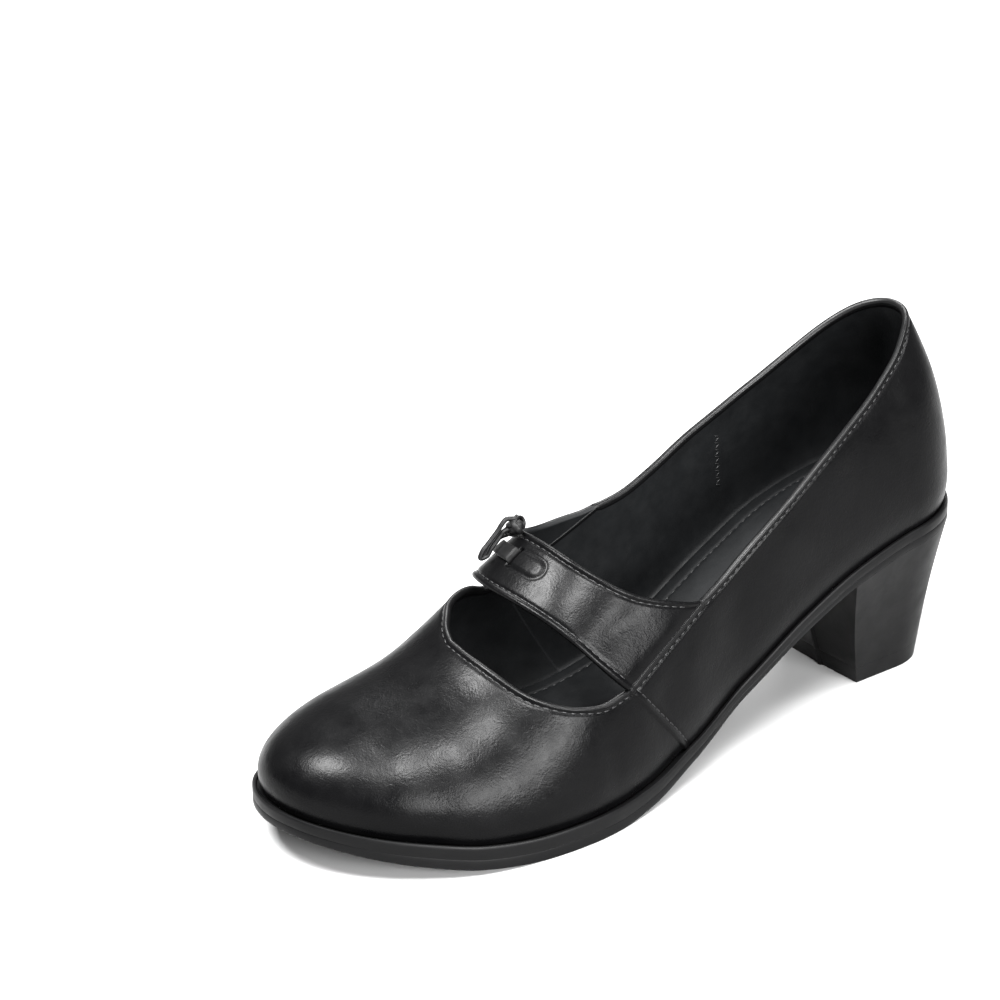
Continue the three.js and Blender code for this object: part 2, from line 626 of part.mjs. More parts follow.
function ring(centre, right, up, width, height, sides) {
  return Array.from({ length: sides }, (_, k) => {
    const angle = (2 * Math.PI * k) / sides;
    return centre
      .clone()
      .addScaledVector(right, (Math.cos(angle) * width) / 2)
      .addScaledVector(up, (Math.sin(angle) * height) / 2);
  });
}
const CORD_STEPS = 19;
const KNOT_FRAME = strapFrame(acrossFor(-KNOT_ASIDE), KNOT_ALONG);
function makeCord(route) {
  const path = new THREE.CatmullRomCurve3(route.map(overStrap), false, "centripetal");
  const right = path.getTangentAt(0).cross(KNOT_FRAME.up);
  const loops = Array.from({ length: CORD_STEPS + 1 }, (_, i) => {
    const along = path.getTangentAt(i / CORD_STEPS);
    right.addScaledVector(along, -right.dot(along)).normalize();
    const above = right.clone().cross(along);
    return ring(path.getPointAt(i / CORD_STEPS), right, above, CORD_WIDTH, CORD_THICKNESS, 8);
  });
  return stack(loops);
}
const KNOT_RINGS = 8;
function makeKnot() {
  const { forward, outward, up } = KNOT_FRAME;
  const centre = overStrap([0, -KNOT_ASIDE, CLEARANCE + KNOT_HEIGHT / 2]);
  const loops = Array.from({ length: KNOT_RINGS + 1 }, (_, i) => {
    const angle = mix(-1.35, 1.35, i / KNOT_RINGS);
    const middle = centre.clone().addScaledVector(forward, (Math.sin(angle) * KNOT_LENGTH) / 2);
    const size = Math.cos(angle) ** 0.8;
    return ring(middle, outward, up, KNOT_WIDTH * size, KNOT_HEIGHT * size, 12);
  });
  return stack(loops);
}
// Routes of the bow, in millimetres: forward of the knot, out from the ridge, and above the leather
const BOW = {
  lace_loop_front: [
    [0.6, -11.7, 6.5], [2.6, -11.9, 6.35], [4.8, -12.2, 5.75], [7.4, -12.4, 5.3], [9.9, -12.6, 4.95],
    [12.4, -12.8, 4.6], [14.1, -13, 3.6], [12.3, -13, 2.55], [9.7, -12.6, 3.3], [7.2, -12.4, 3.7],
    [4.9, -12.2, 4.15], [3.7, -12, 4.4],
  ],
  lace_loop_inner: [
    [0.6, -15.9, 3.4], [0.9, -18, 3.5], [1, -21, 3.4], [0.4, -23, 3.3], [-0.8, -23.8, 3.3],
    [-2, -23, 3.3], [-2.5, -21, 3.4], [-2.4, -18, 3.5], [-2.1, -15.7, 3.4],
  ],
  lace_end_front: [[3.1, -14.4, 2.3], [5.2, -15.8, 2.9], [9.6, -17.2, 2.9], [13, -18.2, 1.5]],
  lace_end_back: [[-0.8, -15.2, 1.35], [-0.9, -19, 1.25], [-0.8, -23, 1.25], [-0.4, -27.5, 1.25]],
};

const LEATHER = new THREE.MeshStandardMaterial({ color: 0x16161a, roughness: 0.38 });
const SOLE_RUBBER = new THREE.MeshStandardMaterial({ color: 0x1d1d1f, roughness: 0.55 });
const LACE = new THREE.MeshStandardMaterial({ color: 0x121214, roughness: 0.5 });
const LINING = new THREE.MeshStandardMaterial({ color: 0x141414, roughness: 0.6 });
function node(name, geometry, material) {
  const mesh = new THREE.Mesh(geometry, material.clone());
  mesh.name = name;
  return mesh;
}

const shoe = new THREE.Group();
shoe.add(
  node("upper", makeUpper(), LEATHER),
  node("strap", makeStrap(), LEATHER),
  node("insole", makeInsole(), LINING),
  node("outsole", makeOutsole(), SOLE_RUBBER),
  node("heel_block", makeHeelBlock(), SOLE_RUBBER),
  node("top_lift", makeTopLift(), SOLE_RUBBER),
  node("lace_bar", makeLaceBar(), LACE),
  node("lace_knot", makeKnot(), LACE),
);
for (const [name, route] of Object.entries(BOW)) shoe.add(node(name, makeCord(route), LACE));
const extent = new THREE.Box3().setFromObject(shoe);
const middle = extent.getCenter(new THREE.Vector3());
shoe.position.set(-middle.x, -middle.y, 0);
export default shoe;
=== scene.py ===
"""A left mary jane pump in black leather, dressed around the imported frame.

Lengths are metres in the frame's own axes: +X runs to the toe, +Y to the outer side, +Z up, and the
floor is z = 0. The last's own formulas are worked out from the back of the heel seat, and placed()
moves a point from there into the frame.
"""

import json
import math

import bmesh
import bpy
import numpy as np
from mathutils import Matrix, Vector
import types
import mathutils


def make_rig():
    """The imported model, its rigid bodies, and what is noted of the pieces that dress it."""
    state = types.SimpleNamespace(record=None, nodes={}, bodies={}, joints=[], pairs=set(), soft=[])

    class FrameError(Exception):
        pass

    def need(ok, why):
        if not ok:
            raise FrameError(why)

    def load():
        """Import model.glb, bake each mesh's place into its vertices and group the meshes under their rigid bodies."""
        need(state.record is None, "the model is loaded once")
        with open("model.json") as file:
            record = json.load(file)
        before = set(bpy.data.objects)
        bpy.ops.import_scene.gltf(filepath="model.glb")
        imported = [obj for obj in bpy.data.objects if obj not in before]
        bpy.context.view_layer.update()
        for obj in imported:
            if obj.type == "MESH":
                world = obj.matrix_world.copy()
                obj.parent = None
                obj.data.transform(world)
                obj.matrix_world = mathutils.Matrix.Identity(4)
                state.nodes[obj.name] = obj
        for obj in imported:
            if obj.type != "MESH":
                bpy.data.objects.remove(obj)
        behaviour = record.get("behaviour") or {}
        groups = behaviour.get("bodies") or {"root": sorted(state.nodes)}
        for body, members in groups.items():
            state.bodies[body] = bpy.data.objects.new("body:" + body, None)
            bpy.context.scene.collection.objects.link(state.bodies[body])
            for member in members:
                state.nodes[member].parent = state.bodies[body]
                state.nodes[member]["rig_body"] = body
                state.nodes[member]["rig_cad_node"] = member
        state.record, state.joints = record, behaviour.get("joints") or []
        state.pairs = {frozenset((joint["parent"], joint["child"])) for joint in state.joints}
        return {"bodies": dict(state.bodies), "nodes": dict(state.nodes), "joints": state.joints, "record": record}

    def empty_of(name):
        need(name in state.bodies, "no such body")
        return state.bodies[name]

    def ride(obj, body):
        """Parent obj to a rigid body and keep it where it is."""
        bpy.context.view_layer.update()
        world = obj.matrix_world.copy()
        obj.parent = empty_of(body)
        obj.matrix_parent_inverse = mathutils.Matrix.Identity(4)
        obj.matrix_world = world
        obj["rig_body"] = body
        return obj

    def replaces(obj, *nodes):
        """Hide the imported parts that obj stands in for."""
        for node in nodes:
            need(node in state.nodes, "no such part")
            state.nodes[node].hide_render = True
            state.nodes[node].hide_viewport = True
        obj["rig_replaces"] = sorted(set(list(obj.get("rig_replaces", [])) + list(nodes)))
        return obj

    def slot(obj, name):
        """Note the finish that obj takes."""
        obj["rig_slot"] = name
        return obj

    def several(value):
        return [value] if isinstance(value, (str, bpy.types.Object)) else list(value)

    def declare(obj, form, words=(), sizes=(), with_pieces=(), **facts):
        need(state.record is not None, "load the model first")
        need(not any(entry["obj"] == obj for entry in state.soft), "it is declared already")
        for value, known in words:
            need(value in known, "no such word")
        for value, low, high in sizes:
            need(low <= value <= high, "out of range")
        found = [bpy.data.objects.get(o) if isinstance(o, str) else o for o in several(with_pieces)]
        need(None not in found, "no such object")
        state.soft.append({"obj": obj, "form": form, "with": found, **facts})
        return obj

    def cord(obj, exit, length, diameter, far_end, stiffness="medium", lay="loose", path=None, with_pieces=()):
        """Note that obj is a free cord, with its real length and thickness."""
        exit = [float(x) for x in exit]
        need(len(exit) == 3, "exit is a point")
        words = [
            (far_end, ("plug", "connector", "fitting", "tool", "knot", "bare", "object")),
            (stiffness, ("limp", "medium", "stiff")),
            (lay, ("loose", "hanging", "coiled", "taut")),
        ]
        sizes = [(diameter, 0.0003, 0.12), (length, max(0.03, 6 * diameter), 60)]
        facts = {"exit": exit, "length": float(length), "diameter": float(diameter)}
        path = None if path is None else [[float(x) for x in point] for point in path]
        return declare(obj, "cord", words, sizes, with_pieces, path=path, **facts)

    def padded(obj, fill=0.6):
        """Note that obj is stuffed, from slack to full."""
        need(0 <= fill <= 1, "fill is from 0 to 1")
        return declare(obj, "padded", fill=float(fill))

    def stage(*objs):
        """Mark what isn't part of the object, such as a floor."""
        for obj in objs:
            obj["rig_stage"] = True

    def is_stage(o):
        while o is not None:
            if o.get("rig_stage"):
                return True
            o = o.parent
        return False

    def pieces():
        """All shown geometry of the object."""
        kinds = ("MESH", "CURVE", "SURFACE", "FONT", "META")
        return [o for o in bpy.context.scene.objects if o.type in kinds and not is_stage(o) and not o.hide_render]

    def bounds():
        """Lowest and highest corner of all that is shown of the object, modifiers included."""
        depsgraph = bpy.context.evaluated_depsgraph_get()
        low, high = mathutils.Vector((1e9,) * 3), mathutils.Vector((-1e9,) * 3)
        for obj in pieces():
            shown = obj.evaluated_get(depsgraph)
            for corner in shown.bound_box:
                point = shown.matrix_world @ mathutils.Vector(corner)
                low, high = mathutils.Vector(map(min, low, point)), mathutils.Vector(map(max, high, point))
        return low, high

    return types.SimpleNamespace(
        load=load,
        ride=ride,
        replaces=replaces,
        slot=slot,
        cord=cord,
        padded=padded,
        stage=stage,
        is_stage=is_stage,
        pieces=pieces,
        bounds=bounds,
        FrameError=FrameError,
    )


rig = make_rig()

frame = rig.load()
cad_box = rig.bounds()

MM = 0.001


# The last and its pieces
LAST_LENGTH = 239 * MM
BALL_WIDTH = 83 * MM
HEEL_RISE = 49 * MM
TOE_SPRING = 11 * MM
SOLE_THICKNESS = 6.5 * MM
COLLAR_HEIGHT = 115 * MM
COUNTER_LEAN = 12 * MM
INSTEP_HEIGHT = 82 * MM
WALL = 2 * MM
CLEARANCE = 0.3 * MM
TUCK = 1.8 * MM
TUCK_HEIGHT = 11 * MM
QUARTER_STEP = 0.8 * MM
LASTING_MARGIN = 7 * MM
LIP_HEIGHT = 1.1 * MM
LIP_WIDTH = 1.4 * MM
LIP_GAP = 1.2 * MM
SOLE_CORNER = 0.35 * MM
INSOLE_THICKNESS = 3 * MM
VAMP_SEAM = 0.512
CORNER_FOOT = 0.43
COLLAR_CORNER = 0.471
WINDOW_CORNER = 0.605
THROAT = 0.742
STRAP_BACK_SWEEP = 2.5
STRAP_FRONT_SWEEP = 2.0
STRAP_ARC = 1.25
STRAP_BACK_RIDGE = 0.615
STRAP_FRONT_RIDGE = 0.684
COLLAR_CORNER_HEIGHT = 57 * MM
WINDOW_CORNER_HEIGHT = 40 * MM
COLLAR_INNER_RISE = 12 * MM
WINDOW_INNER_RISE = 12 * MM
HALF_BALL = BALL_WIDTH / 2

# station, half width, centre, ridge: shares of half the ball's width
PLAN = [
    (0.0, 0.66, 0.0, 0.0),
    (0.1, 0.66, 0.0, 0.0),
    (0.2, 0.67, 0.01, 0.0),
    (0.3, 0.66, 0.04, 0.0),
    (0.4, 0.66, 0.08, 0.0),
    (0.5, 0.74, 0.1, -0.02),
    (0.6, 0.88, 0.08, -0.05),
    (0.68, 0.975, 0.045, -0.08),
    (0.74, 1.0, 0.0, -0.1),
    (0.82, 1.0, -0.06, -0.14),
    (0.9, 0.98, -0.14, -0.18),
    (1.0, 0.95, -0.23, -0.23),
]
TOE_ROUND = (0.74, 2.3, 2.0)
HEEL_ROUND = (0.11, 2.2, 2.2)
TOE_BOX = (0.82, 2.2, 2.3)
# station, share of HEEL_RISE, share of TOE_SPRING
UNDERSIDE = [
    (0.0, 1.0, 0), (0.1, 0.96, 0), (0.2, 0.86, 0), (0.3, 0.67, 0), (0.4, 0.43, 0), (0.5, 0.18, 0),
    (0.58, 0.04, 0), (0.64, 0, 0), (0.74, 0, 0), (0.82, 0, 0.13), (0.9, 0, 0.45), (1.0, 0, 1.0),
]
# station, share of SOLE_THICKNESS
SOLE_EDGE = [(0.0, 0.75), (0.25, 0.65), (0.42, 0.55), (0.55, 0.8), (0.65, 1.0), (0.85, 1.0), (1.0, 0.75)]
# along, share of the way to THROAT on the outer and the inner side, share of the corner's way out on each
WINDOW_EDGE = [
    (0.0, 0.0, 0.0, 1.0, 1.0), (0.2, 0.24, 0.16, 0.985, 0.965), (0.4, 0.51, 0.33, 0.93, 0.86),
    (0.6, 0.75, 0.52, 0.82, 0.725), (0.75, 0.9, 0.68, 0.66, 0.585), (0.87, 0.985, 0.825, 0.4, 0.37),
    (0.95, 1.01, 0.94, 0.18, 0.172), (1.0, 1.0, 1.0, 0.0, 0.0),
]
# station, height as a share of INSTEP_HEIGHT, exponents of the section
LAST = [
    (0.0, 0.8, 2.1, 2.4), (0.1, 0.77, 2.1, 2.4), (0.19, 0.79, 2.1, 2.4), (0.25, 0.86, 2.2, 2.4),
    (0.32, 0.97, 2.3, 2.4), (0.4, 1.05, 2.3, 2.2), (0.5, 1.0, 2.3, 2.0), (0.615, 0.83, 2.2, 1.9),
    (0.69, 0.67, 2.2, 1.9), (0.73, 0.575, 2.2, 1.9), (0.78, 0.48, 2.2, 1.9), (0.86, 0.38, 2.3, 1.95),
    (0.93, 0.33, 2.4, 2.0), (1.0, 0.31, 2.4, 2.0),
]
# station, share of the way from the corner to COLLAR_HEIGHT on the outer and the inner side
COLLAR = [
    (0.0, 1.0, 1.0), (0.045, 0.94, 0.93), (0.1, 0.83, 0.8), (0.174, 0.67, 0.6), (0.246, 0.52, 0.42),
    (0.32, 0.35, 0.26), (0.38, 0.21, 0.12), (0.44, 0.06, 0.02), (0.471, 0.0, 0.0),
]
COUNTER = [(0.0, 0.0), (0.3, 0.083), (0.6, 0.333), (1.0, 1.0)]
COUNTER_REACH = 0.3


def curve(table, column):
    """A smooth curve through the rows of a table, without overshoot."""
    xs = np.array([row[0] for row in table], float)
    ys = np.array([row[column] for row in table], float)
    steps = np.diff(ys) / np.diff(xs)
    slopes = np.zeros(len(xs))
    slopes[0], slopes[-1] = steps[0], steps[-1]
    for i in range(1, len(xs) - 1):
        if steps[i - 1] * steps[i] > 0:
            before, after = xs[i] - xs[i - 1], xs[i + 1] - xs[i]
            a, b = 2 * after + before, after + 2 * before
            slopes[i] = (a + b) / (a / steps[i - 1] + b / steps[i])

    def at(x):
        x = np.clip(x, xs[0], xs[-1])
        i = np.clip(np.searchsorted(xs, x, side="left") - 1, 0, len(xs) - 2)
        width = xs[i + 1] - xs[i]
        t = (x - xs[i]) / width
        ease = t * t * (3 - 2 * t)
        bend = width * t * (1 - t) * (slopes[i] * (1 - t) - slopes[i + 1] * t)
        return ys[i] * (1 - ease) + ys[i + 1] * ease + bend

    return at


def mix(a, b, t):
    return a + (b - a) * t


half_share, centre_share, ridge_share = curve(PLAN, 1), curve(PLAN, 2), curve(PLAN, 3)
heel_share, toe_share = curve(UNDERSIDE, 1), curve(UNDERSIDE, 2)
thickness_share = curve(SOLE_EDGE, 1)
height_share, side_exponent, crown_exponent = curve(LAST, 1), curve(LAST, 2), curve(LAST, 3)
collar_outer, collar_inner = curve(COLLAR, 1), curve(COLLAR, 2)
window_outer, window_inner, outer_out, inner_out = (curve(WINDOW_EDGE, k) for k in (1, 2, 3, 4))
counter_forward = curve(COUNTER, 1)


def rounding(t, reach, fullness):
    """1 where t is 0, and falls to 0 where it is 1, as a superellipse."""
    return np.maximum(0, 1 - np.maximum(0, t) ** reach) ** (1 / fullness)


def toe_rounding(station, shape):
    start, reach, fullness = shape
    return rounding((station - start) / (1 - start), reach, fullness)


def heel_rounding(station):
    end, reach, fullness = HEEL_ROUND
    return rounding(1 - station / end, reach, fullness)


def ridge_y(station):
    return ridge_share(station) * HALF_BALL


def edge_y(station, side):
    round_off = toe_rounding(station, TOE_ROUND) * heel_rounding(station)
    return (centre_share(station) + side * half_share(station) * round_off) * HALF_BALL


def underside(x):
    station = np.clip(x / LAST_LENGTH, 0, 1)
    return HEEL_RISE * heel_share(station) + TOE_SPRING * toe_share(station)


def seat(x):
    return underside(x) + SOLE_THICKNESS * thickness_share(np.clip(x / LAST_LENGTH, 0, 1))


def last_foot(station):
    return seat(station * LAST_LENGTH) + CLEARANCE


def last_height(station):
    return INSTEP_HEIGHT * height_share(station) * toe_rounding(station, TOE_BOX)


def last_z(station, share):
    """Height of the last's surface. share is how far out it is from the ridge, 0 to 1."""
    out = np.clip(share, 0, 1) ** side_exponent(station)
    return last_foot(station) + last_height(station) * (1 - out) ** (1 / crown_exponent(station))


def last_share(station, z):
    """How far out the last's surface is at a height."""
    height = last_height(station)
    rise = np.clip((z - last_foot(station)) / np.maximum(height, 1e-12), 0, 1)
    share = (1 - rise ** crown_exponent(station)) ** (1 / side_exponent(station))
    return np.where(height == 0, 1.0, share)


def across_y(station, side, share):
    return mix(ridge_y(station), edge_y(station, side), share)


def collar_z(station, side):
    corner = COLLAR_CORNER_HEIGHT + (COLLAR_INNER_RISE if side < 0 else 0)
    return mix(corner, COLLAR_HEIGHT, collar_inner(station) if side < 0 else collar_outer(station))


def seam_top(t, side):
    """The seam between a quarter and the strap, t from the window's corner to the collar's."""
    top = mix(WINDOW_CORNER, COLLAR_CORNER, t)
    window = WINDOW_CORNER_HEIGHT + (WINDOW_INNER_RISE if side < 0 else 0)
    top_z = mix(window, collar_z(COLLAR_CORNER, side), t)
    return top, last_share(top, top_z), top_z


def strap_place(across, along):
    """A point of the strap on the last: across from -1 to 1, along from its back edge to its front."""
    across = np.asarray(across, float)
    along = np.asarray(along, float)
    across, along = np.broadcast_arrays(across, along)
    points = np.zeros(across.shape + (3,))
    for side in (1, -1):
        top, top_share, _ = seam_top(1 - along, side)
        t = np.abs(across)
        ridge = mix(STRAP_BACK_RIDGE, STRAP_FRONT_RIDGE, along)
        sweep = mix(STRAP_BACK_SWEEP, STRAP_FRONT_SWEEP, along)
        station = mix(ridge, top, t**sweep)
        share = top_share * np.sin(t * STRAP_ARC) / math.sin(STRAP_ARC)
        here = np.stack([station * LAST_LENGTH, across_y(station, side, share), last_z(station, share)], -1)
        mask = (across >= 0) if side > 0 else (across < 0)
        points[mask] = here[mask]
    return points


def unit(v):
    return v / np.maximum(np.linalg.norm(v, axis=-1, keepdims=True), 1e-12)


def smooth(a, b, x):
    """0 up to a, 1 from b, eased between them."""
    t = np.clip((x - a) / (b - a), 0, 1)
    return t * t * (3 - 2 * t)


def bump(x, middle, width):
    return np.exp(-(((x - middle) / width) ** 2))


# Columns of the wall, from the toe along one side to the heel
FRONT_COLUMNS = 130
SEAM_COLUMNS = 35
COLLAR_COLUMNS = 110
SEAM_OFFSET = QUARTER_STEP / 2 / LAST_LENGTH


def side_columns(side):
    """quarter, upright, foot, top and top share of each column, one row each."""
    along = (1 - np.linspace(0, 1, FRONT_COLUMNS + 1)) ** 1.25
    ahead, out = (window_inner, inner_out) if side < 0 else (window_outer, outer_out)
    foot = mix(VAMP_SEAM, 1, np.sin(math.pi / 2 * along))
    top = mix(WINDOW_CORNER, THROAT, ahead(along))
    front = (np.zeros_like(along), (1 - along) ** 3, foot, top, seam_top(0, side)[1] * out(along))
    t = np.linspace(0, 1, SEAM_COLUMNS + 1) ** 1.5
    top, top_share, _ = seam_top(t, side)
    first = SEAM_OFFSET * (1 - t)
    ones = np.ones_like(t)
    seam = (ones, ones, mix(VAMP_SEAM, CORNER_FOOT, t) - first, top - first, top_share)
    along = 1 - np.cos(math.pi / 2 * (1 - np.arange(1, COLLAR_COLUMNS + 1) / COLLAR_COLUMNS))
    top = COLLAR_CORNER * along
    ones = np.ones_like(along)
    collar = (ones, ones, CORNER_FOOT * along, top, last_share(top, collar_z(top, side)))
    return np.concatenate([np.stack(columns, 1) for columns in (front, seam, collar)])


OUTER = side_columns(1)
INNER = side_columns(-1)
SIDE_COUNT = len(OUTER)
COLUMNS = np.concatenate([OUTER, INNER[1:-1][::-1]])
SIDES = np.concatenate([np.ones(SIDE_COUNT), -np.ones(SIDE_COUNT - 2)])
FOOT_STATION = COLUMNS[:, 2]


def wall_points(v):
    """A point of every column of the wall, v from 0 at the sole to 1 at the top."""
    points = np.zeros((len(COLUMNS), 3))
    for side in (1, -1):
        mine = SIDES == side
        _, upright, foot, top, top_share = COLUMNS[mine].T
        height = v[mine] if isinstance(v, np.ndarray) else v
        ease = 1 - np.cos(math.pi / 2 * height)
        flat = mix(foot, top, ease)
        flat_y = mix(edge_y(foot, side), across_y(top, side, top_share), ease)
        reach = edge_y(flat, side) - ridge_y(flat)
        small = np.abs(reach) < 1e-12
        flat_share = np.where(small, 1, np.abs((flat_y - ridge_y(flat)) / np.where(small, 1, reach)))
        rise = height**0.9
        straight = mix(foot, top, rise)
        straight_z = mix(last_foot(foot), last_z(top, top_share), rise)
        station = mix(flat, straight, upright)
        share = mix(np.minimum(1, flat_share), last_share(straight, straight_z), upright)
        z = np.where(upright == 1, straight_z, last_z(station, share))
        points[mine] = np.stack([station * LAST_LENGTH, across_y(station, side, share), z], 1)
    return points


def inset(loop, distance):
    """Moves every point of a closed loop inwards in plan."""
    along = np.roll(loop, -1, 0) - np.roll(loop, 1, 0)
    along = unit(along[:, :2])
    moved = loop.copy()
    moved[:, 0] -= along[:, 1] * distance
    moved[:, 1] += along[:, 0] * distance
    return moved


def at_height(loop, height):
    moved = loop.copy()
    moved[:, 2] = height(loop[:, 0]) if callable(height) else height
    return moved


def seat_above(height):
    return lambda x: seat(x) + height


# How the edges of the leather are finished
EDGE_ROUND = np.where(
    (COLUMNS[:, 0] == 1) & (COLUMNS[:, 3] >= COLLAR_CORNER - 1e-6), 0.25, 0.95
)  # share of a half round, flatter where the strap is sewn on
ROWS = np.concatenate([np.linspace(0, 0.88, 44, endpoint=False), np.linspace(0.88, 1, 26)])


def bare_loops():
    whole = np.stack([wall_points(v) for v in np.linspace(0, 1, 40)])
    lengths = np.linalg.norm(np.diff(whole, axis=0), axis=-1).sum(0)
    top = 1 - EDGE_ROUND * WALL / 2 / lengths
    loops = np.stack([wall_points(v * top) for v in ROWS])
    for j in range(len(loops)):
        pulled = inset(loops[j], TUCK)
        rise = (loops[j][:, 2] - loops[0][:, 2]) / TUCK_HEIGHT
        share = (np.maximum(0, 1 - rise) ** 2)[:, None]
        loops[j] = mix(loops[j], pulled, share)
    lean = (loops[..., 2] - seat(0)) / (COLLAR_HEIGHT - seat(0))
    fade = np.maximum(0, 1 - FOOT_STATION / COUNTER_REACH) ** 2
    loops[..., 0] += COUNTER_LEAN * fade * counter_forward(np.clip(lean, 0, 1))
    return loops


BARE = bare_loops()
UP = np.gradient(BARE, axis=0)
ALONG = np.roll(BARE, -1, 1) - np.roll(BARE, 1, 1)
OUTWARD = unit(np.cross(ALONG, UP))
FROM_TOP = np.zeros(BARE.shape[:2])
FROM_TOP[:-1] = np.cumsum(np.linalg.norm(np.diff(BARE, axis=0), axis=-1)[::-1], 0)[::-1]
FROM_TOP += (EDGE_ROUND * WALL / 2)[None, :]
FOOT = BARE[0]
OUTLINE = inset(FOOT, -(LIP_GAP + LIP_WIDTH))
MIDDLE = (OUTLINE.max(0) + OUTLINE.min(0)) / 2 * np.array([1, 1, 0])


def placed(points):
    return np.asarray(points) - MIDDLE


# Seams. Each lies beside an edge of the leather, and its thread is pulled into a groove.
EDGE_TO_STITCH = 2.2 * MM
SEAM_TO_STITCH = 1.7 * MM
GROOVE_DEPTH = 0.28 * MM
GROOVE_WIDTH = 0.55 * MM
EDGE_FOLD = 0.22 * MM  # the folded edge stands this much proud


def groove(distance, at):
    return -GROOVE_DEPTH * bump(distance, at, GROOVE_WIDTH)


def fold(distance, at):
    return EDGE_FOLD * (1 - smooth(0.5 * at, 1.05 * at, distance))


def seam_distance():
    """How far behind the vamp seam a point of a quarter lies, along its row. 1 on the vamp."""
    far = np.full(BARE.shape[:2], 1.0)
    steps = np.linalg.norm(np.roll(BARE, -1, 1) - BARE, axis=-1)
    first, count, total = FRONT_COLUMNS + 1, SIDE_COUNT - FRONT_COLUMNS - 2, len(COLUMNS)
    far[:, [first, total - first]] = 0
    far[:, first + 1 : first + 1 + count] = np.cumsum(steps[:, first : first + count], 1)
    inner = steps[:, total - first - count : total - first]
    far[:, total - first - count : total - first] = np.cumsum(inner[:, ::-1], 1)[:, ::-1]
    return far


FROM_SEAM = seam_distance()


def collection_mesh(name, vertices, faces, material_rows=None, smooth_shading=True):
    """A new piece from vertices in the frame and faces."""
    mesh = bpy.data.meshes.new(name)
    mesh.from_pydata(vertices.tolist(), [], [list(dict.fromkeys(face)) for face in faces.tolist()])
    mesh.update()
    if material_rows is not None:
        mesh.polygons.foreach_set("material_index", np.asarray(material_rows, dtype=np.int32))
    if smooth_shading:
        mesh.polygons.foreach_set("use_smooth", np.ones(len(mesh.polygons), dtype=bool))
    piece = bpy.data.objects.new(name, mesh)
    bpy.context.scene.collection.objects.link(piece)
    return piece


def ring_faces(rings, count, wrap_stack=False, wrap_ring=True):
    """Quads of a stack of rings, count points each."""
    bands = rings if wrap_stack else rings - 1
    j = np.arange(bands)[:, None] * count
    k = (np.arange(bands)[:, None] + 1) % rings * count
    i = np.arange(count if wrap_ring else count - 1)[None, :]
    i2 = (i + 1) % count
    return np.stack([j + i, j + i2, k + i2, k + i], -1).reshape(-1, 4)


def volume_of(vertices, faces):
    total = 0.0
    for a, b in ((1, 2), (2, 3)):
        p, q, r = vertices[faces[:, 0]], vertices[faces[:, a]], vertices[faces[:, b]]
        total += np.einsum("ij,ij->i", p, np.cross(q, r)).sum()
    return total


def facing_out(vertices, faces):
    return faces if volume_of(vertices, faces) > 0 else faces[:, ::-1]


def cap_faces(start, count):
    """Closes a ring by strips from each point to the one across from it."""
    faces = []
    i, k = 0, count - 1
    while i + 1 < k:
        faces.append((start + i, start + k, start + k - 1, start + i + 1))
        i, k = i + 1, k - 1
    return np.array(faces)


def along_curve(points):
    steps = np.linalg.norm(np.diff(points, axis=0), axis=1)
    return np.concatenate([[0], np.cumsum(steps)])


def between(at, place, values):
    """Rows of values that are known at each place, worked out at other places."""
    return np.stack([np.interp(at, place, values[:, k]) for k in range(values.shape[1])], -1)


def resample(points, at):
    return between(at, along_curve(points), points)


def edge_drop(gap, radius):
    """How far a rounded edge falls away at a distance from it."""
    return radius - np.sqrt(np.maximum(0, radius**2 - np.maximum(0, radius - gap) ** 2))


def both_sides(loop):
    """The outer and the inner half of a closed loop, each from the toe to the heel."""
    half = len(loop) // 2
    return loop[: half + 1], np.concatenate([loop[:1], loop[half:][::-1]])


def clean_up(piece, reach=2e-6):
    """Merges points that coincide and makes the faces look outwards."""
    mesh = bmesh.new()
    mesh.from_mesh(piece.data)
    bmesh.ops.remove_doubles(mesh, verts=mesh.verts, dist=reach)
    bmesh.ops.dissolve_degenerate(mesh, edges=mesh.edges, dist=reach / 4)
    bmesh.ops.recalc_face_normals(mesh, faces=mesh.faces)
    mesh.to_mesh(piece.data)
    mesh.free()


def capped(name, rings):
    """A piece through a stack of rings, closed at both ends."""
    rings = np.array(rings)
    count = rings.shape[1]
    vertices = rings.reshape(-1, 3)
    sides = facing_out(vertices, ring_faces(len(rings), count))
    low, high = cap_faces(0, count), cap_faces((len(rings) - 1) * count, count)
    return collection_mesh(name, vertices, np.concatenate([sides, low, high[:, ::-1]]))


# Upper. Its leather swells (+) or sinks (-) softly here: middle, reach and depth in millimetres
SOFT_FORMS = [
    ((88, 22, 26), (7, 16, 20), -0.55),
    ((78, 27, 26), (6, 16, 20), 0.4),
    ((98, 6, 34), (5, 18, 14), -0.3),
    ((62, 31, 28), (7, 10, 16), -0.45),
    ((46, 36, 26), (8, 10, 14), 0.35),
    ((34, 38, 24), (5, 8, 14), -0.4),
    ((12, 36, 32), (6, 10, 14), -0.5),
    ((0, 33, 40), (5, 10, 12), 0.35),
    ((-18, 30, 46), (8, 10, 16), -0.45),
    ((-42, 28, 62), (12, 10, 14), 0.35),
    ((-70, 26, 74), (12, 10, 18), -0.35),
    ((66, -34, 28), (9, 12, 16), -0.45),
    ((30, -38, 28), (9, 12, 16), 0.4),
    ((-10, -30, 44), (10, 10, 16), -0.45),
    ((-60, -26, 70), (14, 10, 18), -0.35),
]


def soft_relief(points):
    relief = np.zeros(points.shape[:-1])
    for middle, reach, depth in SOFT_FORMS:
        gap = (points / MM - np.array(middle)) / np.array(reach)
        relief += depth * MM * np.exp(-(gap**2).sum(-1))
    return relief


